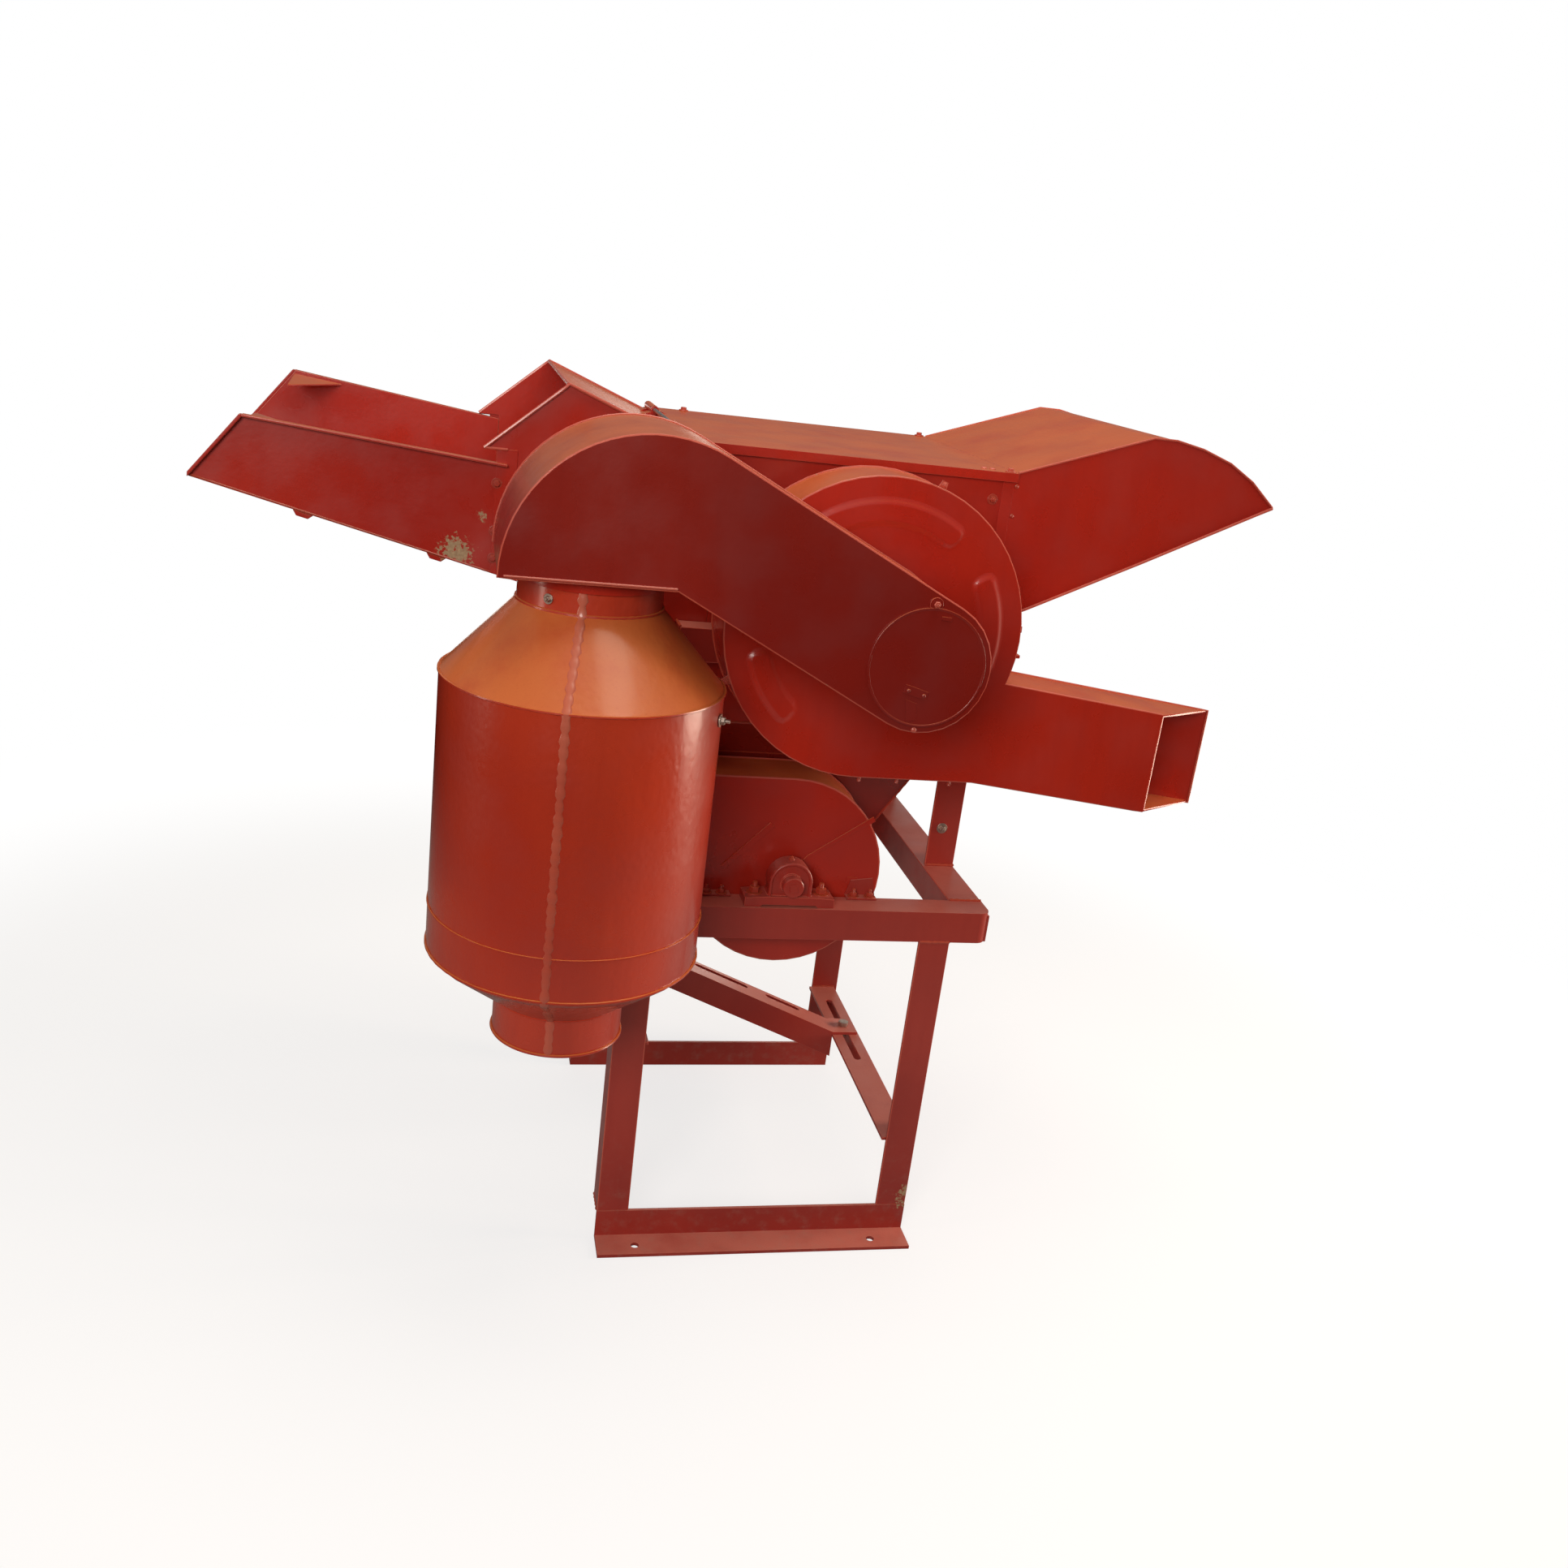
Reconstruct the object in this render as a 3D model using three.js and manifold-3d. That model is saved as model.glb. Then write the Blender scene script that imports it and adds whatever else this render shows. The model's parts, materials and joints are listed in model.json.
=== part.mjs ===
// Small hammer mill with a feed tray, suction fan, cyclone and throwing drum on an angle-iron frame.
// Millimetres, +Z up, +X towards the discharge hood, +Y away from the cyclone side.
import * as THREE from 'three';
import { mergeVertices } from 'three/addons/utils/BufferGeometryUtils.js';
import Module from 'manifold-3d';

const wasm = await Module();
wasm.setup();

// ---------------------------------------------------------------- driving dimensions
const GAP = 0.3;
const SHEET = 3;
const ANGLE = 46;
const ANGLE_T = 5;
const ROUND = 40;

// Base frame
const HALF_WIDTH = 234;
const BACK_Y = 494;
const TABLE_Z = 531;
const SHELF_X = 290;
const SHELF_INNER_X = 240;
const RAIL_FOOT = 51;
const FOOT_HOLE_X = 178;
const LOW_RAIL_Z = 161;
const HIGH_RAIL_Z = 320;
const SLOT_WIDTH = 11;
const SLOT_FROM_Y = 234;
const SLOT_TO_Y = 443;
const ENGINE_Y = 316;
const ENGINE_TOP_WIDTH = 48;

// Upper frame
const POST_Y = 178;
const RIGHT_SIDE_RAIL_Z = 896;
const LEFT_SIDE_RAIL_Z = 880;
const SIDE_RAIL_FROM_Y = 61;
const SIDE_RAIL_TO_Y = 567;
const BEARING_RAIL_Z = 902;
const BEARING_RAIL_DEPTH = 38.7;

// Pillow blocks for a 20 mm shaft
const BEARING_HEIGHT = 33.3;
const BEARING_FOOT = 127;
const BEARING_DEPTH = 38;
const BEARING_HOUSING_R = 31;
const SHAFT_R = 10;
const BORE_R = 10.3;

// Rotor and chamber
const ROTOR_X = 48;
const ROTOR_Z = BEARING_RAIL_Z + GAP + BEARING_HEIGHT;
const CHAMBER_LEFT = -147;
const CHAMBER_RIGHT = 243;
const CHAMBER_FRONT = 100;
const CHAMBER_BACK = 528;
const CHAMBER_BOTTOM = 765;
const CHAMBER_TOP = 1134.5;
const ROTOR_CORE_R = 22;
const ROTOR_DISC_R = 110;
const ROTOR_DISC_YS = [150, 314, 478];
const DISC_T = 6;
const PIN_CIRCLE_R = 88;
const PIN_R = 6;
const HAMMER_REACH = 62;
const HAMMER_WIDTH = 36;
const HAMMER_T = 8;
const SCREEN_R = 162;
const DISCHARGE_Z = 930;

// Fan
const FAN_R = 196;
const FAN_FRONT = -35;
const FAN_BACK = 60;
const FAN_EYE_R = 66;
const FAN_OUTLET_X = 470;
const FAN_OUTLET_FAR_X = 590;

// Suction duct
const DUCT_FRONT = -249;
const DUCT_BIG = { x: -275, z: 1012, r: 162 };
const DUCT_SMALL = { x: 48, z: 946, r: 77 };
const DUCT_FLAT_END_X = -244;
const EYE_COVER_R = 70;
const EYE_PIVOT_Z = DUCT_SMALL.z + EYE_COVER_R + 4;

// Cyclone
const CYCLONE_X = -328;
const CYCLONE_Y = -141;
const CYCLONE_R = 165;
const CYCLONE_NECK_R = 83.5;
const CYCLONE_OUTLET_R = 80;

// Throwing drum
const THROWER_X = -7;
const THROWER_Z = TABLE_Z + GAP + BEARING_HEIGHT;
const THROWER_R = 137;
const THROWER_FRONT = 52;
const THROWER_BACK = 140;
const THROWER_EYE_R = 50;
const THROWER_OUTLET_X = -195;
const THROWER_OUTLET_BOTTOM = 600;

// Feed tray
const TRAY_LEFT = -797;
const TRAY_RIGHT = -420;
const FLOOR_END_X = -137;
const FLOOR_END_Z = 875;
const FLOOR_SLOPE = 0.247;

// Belt drive
const BELT_Y = 605;
const ROTOR_PULLEY_R = 75;
const THROWER_PULLEY_R = 60;
const BELT_DEPTH = 10;
const BELT_WIDTH = 9;

// ---------------------------------------------------------------- materials
const LOOKS = {
  enamel: [0xb03a22, 0.35, 0.0],
  enamel_dark: [0x8a2418, 0.35, 0.0],
  rail_paint: [0xa8382a, 0.4, 0.0],
  steel: [0x8d8f92, 0.35, 0.9],
  hammer_steel: [0x5f6266, 0.45, 0.9],
  cast: [0xa5372a, 0.5, 0.1],
  rubber: [0x1d1d1f, 0.8, 0.0],
};

function look(name) {
  const [color, roughness, metalness] = LOOKS[name];
  return new THREE.MeshStandardMaterial({ color, roughness, metalness });
}

// ---------------------------------------------------------------- solids
function solid(geometry) {
  geometry.deleteAttribute('normal');
  geometry.deleteAttribute('uv');
  const merged = mergeVertices(geometry, 1e-4);
  const mesh = new wasm.Mesh({
    numProp: 3,
    vertProperties: new Float32Array(merged.attributes.position.array),
    triVerts: new Uint32Array(merged.index.array),
  });
  return new wasm.Manifold(mesh);
}

// Turns the extrusion of an outline from the XY plane into one along the named axis.
const TURN = {
  x: new THREE.Matrix4().set(0, 0, 1, 0, 1, 0, 0, 0, 0, 1, 0, 0, 0, 0, 0, 1),
  y: new THREE.Matrix4().set(1, 0, 0, 0, 0, 0, -1, 0, 0, 1, 0, 0, 0, 0, 0, 1),
  z: new THREE.Matrix4(),
};

// An outline of [a, b] points: (y, z) along x, (x, z) along y, (x, y) along z.
function prism(axis, outline, from, to) {
  const shape = new THREE.Shape(outline.map(([a, b]) => new THREE.Vector2(a, b)));
  const geometry = new THREE.ExtrudeGeometry(shape, { depth: to - from, bevelEnabled: false });
  geometry.applyMatrix4(TURN[axis]);
  const start = axis === 'y' ? to : from;
  geometry.translate(axis === 'x' ? start : 0, axis === 'y' ? start : 0, axis === 'z' ? start : 0);
  return solid(geometry);
}

function box(x0, x1, y0, y1, z0, z1) {
  return prism('z', [[x0, y0], [x1, y0], [x1, y1], [x0, y1]], z0, z1);
}

function arc(cx, cy, r, fromDeg, toDeg, steps) {
  const points = [];
  for (let i = 0; i <= steps; i += 1) {
    const a = THREE.MathUtils.degToRad(fromDeg + ((toDeg - fromDeg) * i) / steps);
    points.push([cx + r * Math.cos(a), cy + r * Math.sin(a)]);
  }
  return points;
}

function circle(cx, cy, r, steps = ROUND) {
  return arc(cx, cy, r, 0, 360 - 360 / steps, steps - 1);
}

function rod(axis, cx, cy, r, from, to, steps = ROUND) {
  return prism(axis, circle(cx, cy, r, steps), from, to);
}

// An equal or unequal angle section with its outer corner at (a, b) and legs reaching by (wa, wb).
function angleBar(axis, a, b, wa, wb, from, to) {
  const ta = Math.sign(wa) * ANGLE_T;
  const tb = Math.sign(wb) * ANGLE_T;
  const outline = [
    [a, b], [a + wa, b], [a + wa, b + tb], [a + ta, b + tb], [a + ta, b + wb], [a, b + wb],
  ];
  return prism(axis, outline, from, to);
}

function slotY(x, y0, y1, width, z0, z1) {
  const r = width / 2;
  const outline = [...arc(x, y1 - r, r, 0, 180, 6), ...arc(x, y0 + r, r, 180, 360, 6)];
  return prism('z', outline, z0, z1);
}

// A closed body through rectangular rings, each {z, x: [low, high], y: [low, high]}, from low z to high z.
function loft(rings) {
  const positions = [];
  const corners = [];
  for (const ring of rings) {
    corners.push([
      [ring.x[0], ring.y[0], ring.z], [ring.x[1], ring.y[0], ring.z],
      [ring.x[1], ring.y[1], ring.z], [ring.x[0], ring.y[1], ring.z],
    ]);
  }
  const quad = (a, b, c, d) => positions.push(...a, ...b, ...c, ...a, ...c, ...d);
  const bottom = corners[0];
  quad(bottom[3], bottom[2], bottom[1], bottom[0]);
  for (let level = 0; level + 1 < corners.length; level += 1) {
    for (let side = 0; side < 4; side += 1) {
      const next = (side + 1) % 4;
      quad(corners[level][side], corners[level][next], corners[level + 1][next], corners[level + 1][side]);
    }
  }
  const top = corners[corners.length - 1];
  quad(top[0], top[1], top[2], top[3]);
  const geometry = new THREE.BufferGeometry();
  geometry.setAttribute('position', new THREE.Float32BufferAttribute(positions, 3));
  return solid(geometry);
}

function turned(profile, x, y, steps = ROUND) {
  const points = profile.map(([r, z]) => new THREE.Vector2(r, z));
  points.push(points[0].clone());
  const geometry = new THREE.LatheGeometry(points, steps);
  geometry.rotateX(Math.PI / 2);
  geometry.translate(x, y, 0);
  return solid(geometry);
}

function turnedAlongY(profile, x, z, steps = ROUND) {
  const points = profile.map(([r, y]) => new THREE.Vector2(r, y));
  points.push(points[0].clone());
  const geometry = new THREE.LatheGeometry(points, steps);
  geometry.translate(x, 0, z);
  return solid(geometry);
}

const machine = new THREE.Group();

function add(name, material, body) {
  const out = body.getMesh();
  const geometry = new THREE.BufferGeometry();
  geometry.setAttribute('position', new THREE.BufferAttribute(new Float32Array(out.vertProperties), 3));
  geometry.setIndex(new THREE.BufferAttribute(new Uint32Array(out.triVerts), 1));
  geometry.computeVertexNormals();
  const mesh = new THREE.Mesh(geometry, look(material));
  mesh.name = name;
  machine.add(mesh);
}

// ---------------------------------------------------------------- base frame
function baseRail(side) {
  const front = side === 'front';
  const y = front ? ANGLE_T : BACK_Y;
  const reach = front ? -RAIL_FOOT : RAIL_FOOT;
  let rail = angleBar('x', y, 0, reach, ANGLE, -HALF_WIDTH, HALF_WIDTH);
  const holeY = y + reach * 0.6;
  for (const x of [-FOOT_HOLE_X, FOOT_HOLE_X]) {
    rail = rail.subtract(rod('z', x, holeY, 6, -1, ANGLE_T + 1, 16));
  }
  return rail;
}

function leg(sideX, y) {
  return angleBar('z', sideX * HALF_WIDTH, y, -sideX * ANGLE, ANGLE, ANGLE + GAP, TABLE_Z - ANGLE - GAP);
}

function tableCrossRail(y) {
  const rail = angleBar('x', y, TABLE_Z, ANGLE, -ANGLE, -HALF_WIDTH, SHELF_X);
  const r = 16;
  const corner = [
    [SHELF_X - r, y - 1], [SHELF_X + 1, y - 1], [SHELF_X + 1, y + r],
    ...arc(SHELF_X - r, y + r, r, 0, -90, 6),
  ];
  return y === 0 ? rail.subtract(prism('z', corner, TABLE_Z - ANGLE - 1, TABLE_Z + 1)) : rail;
}

function slottedSideRail(sideX, topZ) {
  const x = sideX * (HALF_WIDTH - ANGLE_T - GAP);
  const rail = angleBar('y', x, topZ, -sideX * ANGLE, -ANGLE, ANGLE_T + GAP, BACK_Y - GAP);
  const slotX = x - sideX * ANGLE * 0.5;
  return rail.subtract(slotY(slotX, SLOT_FROM_Y, SLOT_TO_Y, SLOT_WIDTH, topZ - ANGLE_T - 1, topZ + 1));
}

add('base_rail_front', 'rail_paint', baseRail('front'));
add('base_rail_back', 'rail_paint', baseRail('back'));
add('leg_front_left', 'rail_paint', leg(-1, 0));
add('leg_front_right', 'rail_paint', leg(1, 0));
add('leg_back_left', 'rail_paint', leg(-1, BACK_Y));
add('leg_back_right', 'rail_paint', leg(1, BACK_Y));
add('table_rail_front', 'rail_paint', tableCrossRail(0));
add('table_rail_back', 'rail_paint', tableCrossRail(BACK_Y));
add('table_rail_left', 'rail_paint',
  angleBar('y', -HALF_WIDTH, TABLE_Z, ANGLE, -ANGLE, ANGLE + GAP, BACK_Y - GAP));
add('table_rail_right', 'rail_paint',
  angleBar('y', SHELF_INNER_X, TABLE_Z, SHELF_X - SHELF_INNER_X, -ANGLE, ANGLE + GAP, BACK_Y - GAP));
add('slotted_rail_right', 'rail_paint', slottedSideRail(1, LOW_RAIL_Z));
add('slotted_rail_left', 'rail_paint', slottedSideRail(-1, HIGH_RAIL_Z));

// ---------------------------------------------------------------- sliding engine rail
const SLOT_X = HALF_WIDTH - ANGLE_T - GAP - ANGLE * 0.5;
const ENGINE_HALF = HALF_WIDTH - ANGLE_T - GAP - ANGLE - GAP;
const BOLT_Y = ENGINE_Y + ENGINE_TOP_WIDTH / 2;
const BOLT_R = 4.7;

function engineRail() {
  const right = { x: ENGINE_HALF, z: LOW_RAIL_Z + GAP };
  const left = { x: -ENGINE_HALF, z: HIGH_RAIL_Z + GAP };
  const slope = (left.z - right.z) / (left.x - right.x);
  const topAt = (x) => right.z + ANGLE_T + slope * (x - right.x);
  const flange = [
    [left.x, topAt(left.x)], [left.x, topAt(left.x) - ANGLE_T],
    [right.x, topAt(right.x) - ANGLE_T], [right.x, topAt(right.x)],
  ];
  const webHalf = ENGINE_HALF - GAP;
  const web = [
    [-webHalf, topAt(-webHalf) - 1], [-webHalf, topAt(-webHalf) - ANGLE],
    [webHalf, topAt(webHalf) - ANGLE], [webHalf, topAt(webHalf) - 1],
  ];
  let rail = prism('y', flange, ENGINE_Y, ENGINE_Y + ENGINE_TOP_WIDTH);
  rail = rail.add(prism('y', web, ENGINE_Y, ENGINE_Y + ANGLE_T));
  for (const end of [{ x: 1, z: LOW_RAIL_Z }, { x: -1, z: HIGH_RAIL_Z }]) {
    const inner = end.x * (ENGINE_HALF - 6);
    const outer = end.x * (HALF_WIDTH - ANGLE_T - 4);
    const tab = box(Math.min(inner, outer), Math.max(inner, outer), ENGINE_Y, ENGINE_Y + ENGINE_TOP_WIDTH,
      end.z + GAP, end.z + GAP + ANGLE_T);
    rail = rail.add(tab);
    rail = rail.subtract(rod('z', end.x * SLOT_X, BOLT_Y, BOLT_R + GAP, end.z - 10, end.z + 20, 16));
  }
  const slotBack = ENGINE_Y + ENGINE_TOP_WIDTH - 14;
  for (const [x0, x1] of [[-148, -92], [-60, 34], [66, 128]]) {
    const outline = [
      ...arc(x1 - 5, slotBack, 5, -90, 90, 4), ...arc(x0 + 5, slotBack, 5, 90, 270, 4),
    ];
    rail = rail.subtract(prism('z', outline, LOW_RAIL_Z - 60, HIGH_RAIL_Z + 40));
  }
  return rail;
}

function clampBolt(x, railZ) {
  const head = rod('z', x, BOLT_Y, 9, railZ + ANGLE_T + 2 * GAP, railZ + ANGLE_T + 8, 6);
  const shank = rod('z', x, BOLT_Y, BOLT_R, railZ - ANGLE_T - 12, railZ + ANGLE_T + 2, 16);
  const nut = rod('z', x, BOLT_Y, 9, railZ - ANGLE_T - 8, railZ - ANGLE_T - GAP, 6);
  return head.add(shank).add(nut);
}

add('engine_rail', 'rail_paint', engineRail());
add('engine_bolt_right', 'steel', clampBolt(SLOT_X, LOW_RAIL_Z));
add('engine_bolt_left', 'steel', clampBolt(-SLOT_X, HIGH_RAIL_Z));

// ---------------------------------------------------------------- upper frame
function post(sideX, y, topZ) {
  const x = sideX > 0 ? SHELF_X : -HALF_WIDTH;
  return angleBar('z', x, y, -sideX * ANGLE, ANGLE, TABLE_Z + GAP, topZ);
}

const RIGHT_POST_TOP = RIGHT_SIDE_RAIL_Z - ANGLE - GAP;
const LEFT_POST_TOP = LEFT_SIDE_RAIL_Z - ANGLE - GAP;
const RIGHT_RAIL_X = SHELF_X - ANGLE;
const LEFT_RAIL_X = -HALF_WIDTH + ANGLE;

add('post_front_left', 'rail_paint', post(-1, POST_Y, LEFT_POST_TOP));
add('post_front_right', 'rail_paint', post(1, POST_Y, RIGHT_POST_TOP));
add('post_back_left', 'rail_paint', post(-1, BACK_Y, LEFT_POST_TOP));
add('post_back_right', 'rail_paint', post(1, BACK_Y, RIGHT_POST_TOP));
add('upper_rail_left', 'rail_paint',
  angleBar('y', LEFT_RAIL_X, LEFT_SIDE_RAIL_Z, -ANGLE, -ANGLE, SIDE_RAIL_FROM_Y, SIDE_RAIL_TO_Y));
add('upper_rail_right', 'rail_paint',
  angleBar('y', RIGHT_RAIL_X, RIGHT_SIDE_RAIL_Z, ANGLE, -ANGLE, SIDE_RAIL_FROM_Y, SIDE_RAIL_TO_Y));

function bearingRail(webY, reach) {
  return angleBar('x', webY, BEARING_RAIL_Z, reach, -ANGLE, LEFT_RAIL_X + GAP, RIGHT_RAIL_X - GAP);
}

add('bearing_rail_front', 'rail_paint', bearingRail(SIDE_RAIL_FROM_Y, BEARING_RAIL_DEPTH));
add('bearing_rail_back', 'rail_paint', bearingRail(SIDE_RAIL_TO_Y, -BEARING_RAIL_DEPTH));

// ---------------------------------------------------------------- bearings
function pillowBlock(x, y, baseZ) {
  const low = baseZ + GAP;
  const axisZ = low + BEARING_HEIGHT;
  const half = BEARING_FOOT / 2;
  const foot = [
    [x - half, low], [x - half + 22, low], [x - half + 26, low + 3], [x + half - 26, low + 3],
    [x + half - 22, low], [x + half, low], [x + half, low + 13], [x + 33, low + 15],
    [x - 33, low + 15], [x - half, low + 13],
  ];
  const dome = [
    ...arc(x, axisZ, BEARING_HOUSING_R, -20, 200, 12), [x - 33, low + 10], [x + 33, low + 10],
  ];
  let block = prism('y', foot, y - BEARING_DEPTH / 2, y + BEARING_DEPTH / 2);
  block = block.add(prism('y', dome, y - 13, y + 13));
  block = block.add(rod('y', x, axisZ, 15, y - 17, y + 17, 16));
  return block.subtract(rod('y', x, axisZ, BORE_R, y - 30, y + 30, 20));
}

const ROTOR_FRONT_BEARING_Y = SIDE_RAIL_FROM_Y + BEARING_RAIL_DEPTH / 2;
const ROTOR_BACK_BEARING_Y = SIDE_RAIL_TO_Y - BEARING_RAIL_DEPTH / 2;
const THROWER_FRONT_BEARING_Y = ANGLE / 2;
const THROWER_BACK_BEARING_Y = BACK_Y + ANGLE / 2;

add('rotor_bearing_front', 'cast', pillowBlock(ROTOR_X, ROTOR_FRONT_BEARING_Y, BEARING_RAIL_Z));
add('rotor_bearing_back', 'cast', pillowBlock(ROTOR_X, ROTOR_BACK_BEARING_Y, BEARING_RAIL_Z));
add('thrower_bearing_front', 'cast', pillowBlock(THROWER_X, THROWER_FRONT_BEARING_Y, TABLE_Z));
add('thrower_bearing_back', 'cast', pillowBlock(THROWER_X, THROWER_BACK_BEARING_Y, TABLE_Z));

// ---------------------------------------------------------------- chamber
const floorAt = (x) => FLOOR_END_Z + (FLOOR_END_X - x) * FLOOR_SLOPE;

function chamberBody() {
  const plate = [
    [CHAMBER_LEFT, CHAMBER_BOTTOM], [CHAMBER_RIGHT, CHAMBER_BOTTOM],
    [CHAMBER_RIGHT, CHAMBER_TOP], [CHAMBER_LEFT, CHAMBER_TOP],
  ];
  let body = prism('y', plate, CHAMBER_FRONT, CHAMBER_FRONT + SHEET);
  body = body.add(prism('y', plate, CHAMBER_BACK - SHEET, CHAMBER_BACK));
  const feedLip = floorAt(CHAMBER_LEFT) - 2 * SHEET;
  body = body.add(
    box(CHAMBER_LEFT, CHAMBER_LEFT + SHEET, CHAMBER_FRONT, CHAMBER_BACK, CHAMBER_BOTTOM, feedLip));
  body = body.add(
    box(CHAMBER_RIGHT - SHEET, CHAMBER_RIGHT, CHAMBER_FRONT, CHAMBER_BACK, CHAMBER_BOTTOM, DISCHARGE_Z));
  return body.subtract(rod('y', ROTOR_X, ROTOR_Z, 26, 0, 700, 20));
}

function screen() {
  const outer = SCREEN_R + SHEET;
  const from = 200;
  const to = 340;
  const sector = [
    ...arc(ROTOR_X, ROTOR_Z, outer, from, to, 18), ...arc(ROTOR_X, ROTOR_Z, SCREEN_R, to, from, 18),
  ];
  let sheet = prism('y', sector, CHAMBER_FRONT + SHEET + 1, CHAMBER_BACK - SHEET - 1);
  const rows = 8;
  const slots = 4;
  const pitch = 102;
  for (let row = 0; row < rows; row += 1) {
    const a = THREE.MathUtils.degToRad(from + 12 + (row * (to - from - 24)) / (rows - 1));
    const radial = [Math.cos(a), Math.sin(a)];
    const across = [-Math.sin(a), Math.cos(a)];
    const at = (r, t) => [ROTOR_X + radial[0] * r + across[0] * t, ROTOR_Z + radial[1] * r + across[1] * t];
    const window = [at(SCREEN_R - 4, -6), at(SCREEN_R - 4, 6), at(outer + 4, 6), at(outer + 4, -6)];
    for (let slot = 0; slot < slots; slot += 1) {
      const y = CHAMBER_FRONT + 22 + slot * pitch;
      sheet = sheet.subtract(prism('y', window, y, y + 76));
    }
  }
  return sheet;
}

const HOPPER_RINGS = [
  { z: 500, x: [-75, 48], y: [146, 300] },
  { z: 615, x: [-75, 145], y: [146, 400] },
  { z: 708, x: [-117, 206], y: [146, 478] },
  { z: CHAMBER_BOTTOM - GAP, x: [CHAMBER_LEFT, CHAMBER_RIGHT], y: [CHAMBER_FRONT, CHAMBER_BACK] },
];

function hopper() {
  const inset = HOPPER_RINGS.map((ring) => ({
    z: ring.z, x: [ring.x[0] + SHEET, ring.x[1] - SHEET], y: [ring.y[0] + SHEET, ring.y[1] - SHEET],
  }));
  inset[0].z += SHEET;
  inset[inset.length - 1].z += 1;
  let body = loft(HOPPER_RINGS);
  body = body.add(rod('y', THROWER_X, THROWER_Z, THROWER_EYE_R + SHEET, THROWER_BACK + GAP, 147, 24));
  body = body.subtract(loft(inset));
  body = body.subtract(rod('y', THROWER_X, THROWER_Z, THROWER_EYE_R, 130, 152, 24));
  return body.subtract(rod('y', THROWER_X, THROWER_Z, 14, 290, 420, 16));
}

add('chamber_body', 'enamel', chamberBody());
add('screen', 'steel', screen());
add('hopper', 'enamel_dark', hopper());

// ---------------------------------------------------------------- feed throat, cover and hood
const HINGE_X = -200;
const HINGE_Z = CHAMBER_TOP + 9.5;
const HINGE_R = 6;
const HINGE_BORE = 3;
const HINGE_STARTS = [140, 410];
const KNUCKLE = 27;
const COVER_RIGHT = 256;
const COVER_LIP = 9;
const COVER_Z = CHAMBER_TOP + 0.5;
const ROOF_PEAK = [-350, 1190];
const MOUTH_FOOT = [-450, 1103];

function knuckle(y0, leaf) {
  const barrel = rod('y', HINGE_X, HINGE_Z, HINGE_R, y0, y0 + KNUCKLE, 12);
  return barrel.add(prism('y', leaf, y0, y0 + KNUCKLE));
}

function hingeBore() {
  return rod('y', HINGE_X, HINGE_Z, HINGE_BORE + 0.1, 100, 560, 12);
}

function feedThroat() {
  const roofEnd = [-203, CHAMBER_TOP - 1.5];
  const right = CHAMBER_LEFT - GAP;
  const wall = [
    [TRAY_RIGHT, floorAt(TRAY_RIGHT) - SHEET], [right, floorAt(right) - SHEET], [right, CHAMBER_TOP],
    [-199, CHAMBER_TOP], roofEnd, ROOF_PEAK, MOUTH_FOOT, [TRAY_RIGHT, MOUTH_FOOT[1]],
  ];
  const roof = [ROOF_PEAK, roofEnd, [roofEnd[0], roofEnd[1] - SHEET], [ROOF_PEAK[0], ROOF_PEAK[1] - SHEET]];
  const floor = [
    [TRAY_RIGHT, floorAt(TRAY_RIGHT)], [TRAY_RIGHT, floorAt(TRAY_RIGHT) - SHEET],
    [right, floorAt(right) - SHEET], [right, floorAt(right)],
  ];
  const leaf = [
    [-216, HINGE_Z - 7], [roofEnd[0], HINGE_Z - 11.5], [-199, HINGE_Z - 10],
    [-199, HINGE_Z - 4], [-204, HINGE_Z - 3],
  ];
  let body = prism('y', wall, CHAMBER_FRONT, CHAMBER_FRONT + SHEET);
  body = body.add(prism('y', wall, CHAMBER_BACK - SHEET, CHAMBER_BACK));
  body = body.add(prism('y', roof, CHAMBER_FRONT, CHAMBER_BACK));
  body = body.add(prism('y', floor, CHAMBER_FRONT, CHAMBER_BACK));
  for (const start of HINGE_STARTS) {
    body = body.add(knuckle(start, leaf)).add(knuckle(start + 2 * (KNUCKLE + 0.5), leaf));
  }
  return body.subtract(hingeBore());
}

function topCover() {
  const left = -196;
  const front = CHAMBER_FRONT - 8;
  const back = CHAMBER_BACK + 6;
  let body = box(left, COVER_RIGHT, front, back, COVER_Z, COVER_Z + SHEET);
  body = body.add(box(left, COVER_RIGHT, front, front + SHEET, COVER_Z - COVER_LIP, COVER_Z + 1));
  body = body.add(box(left, COVER_RIGHT, back - SHEET, back, COVER_Z - COVER_LIP, COVER_Z + 1));
  const leaf = [
    [left, COVER_Z], [-178, COVER_Z], [-178, COVER_Z + SHEET],
    [-194, HINGE_Z - 2], [-199, HINGE_Z - 4],
  ];
  for (const start of HINGE_STARTS) {
    body = body.add(knuckle(start + KNUCKLE + 0.5, leaf));
  }
  return body.subtract(hingeBore());
}

function hoodCurve(drop) {
  const ridge = new THREE.CatmullRomCurve3([
    new THREE.Vector3(446, 0, 1203 - drop), new THREE.Vector3(480, 0, 1203 - drop),
    new THREE.Vector3(522, 0, 1195 - drop), new THREE.Vector3(567, 0, 1180 - drop),
    new THREE.Vector3(606, 0, 1158 - drop), new THREE.Vector3(645, 0, 1125 - drop),
  ]);
  return ridge.getPoints(10).map((p) => [p.x, p.z]);
}

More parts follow.
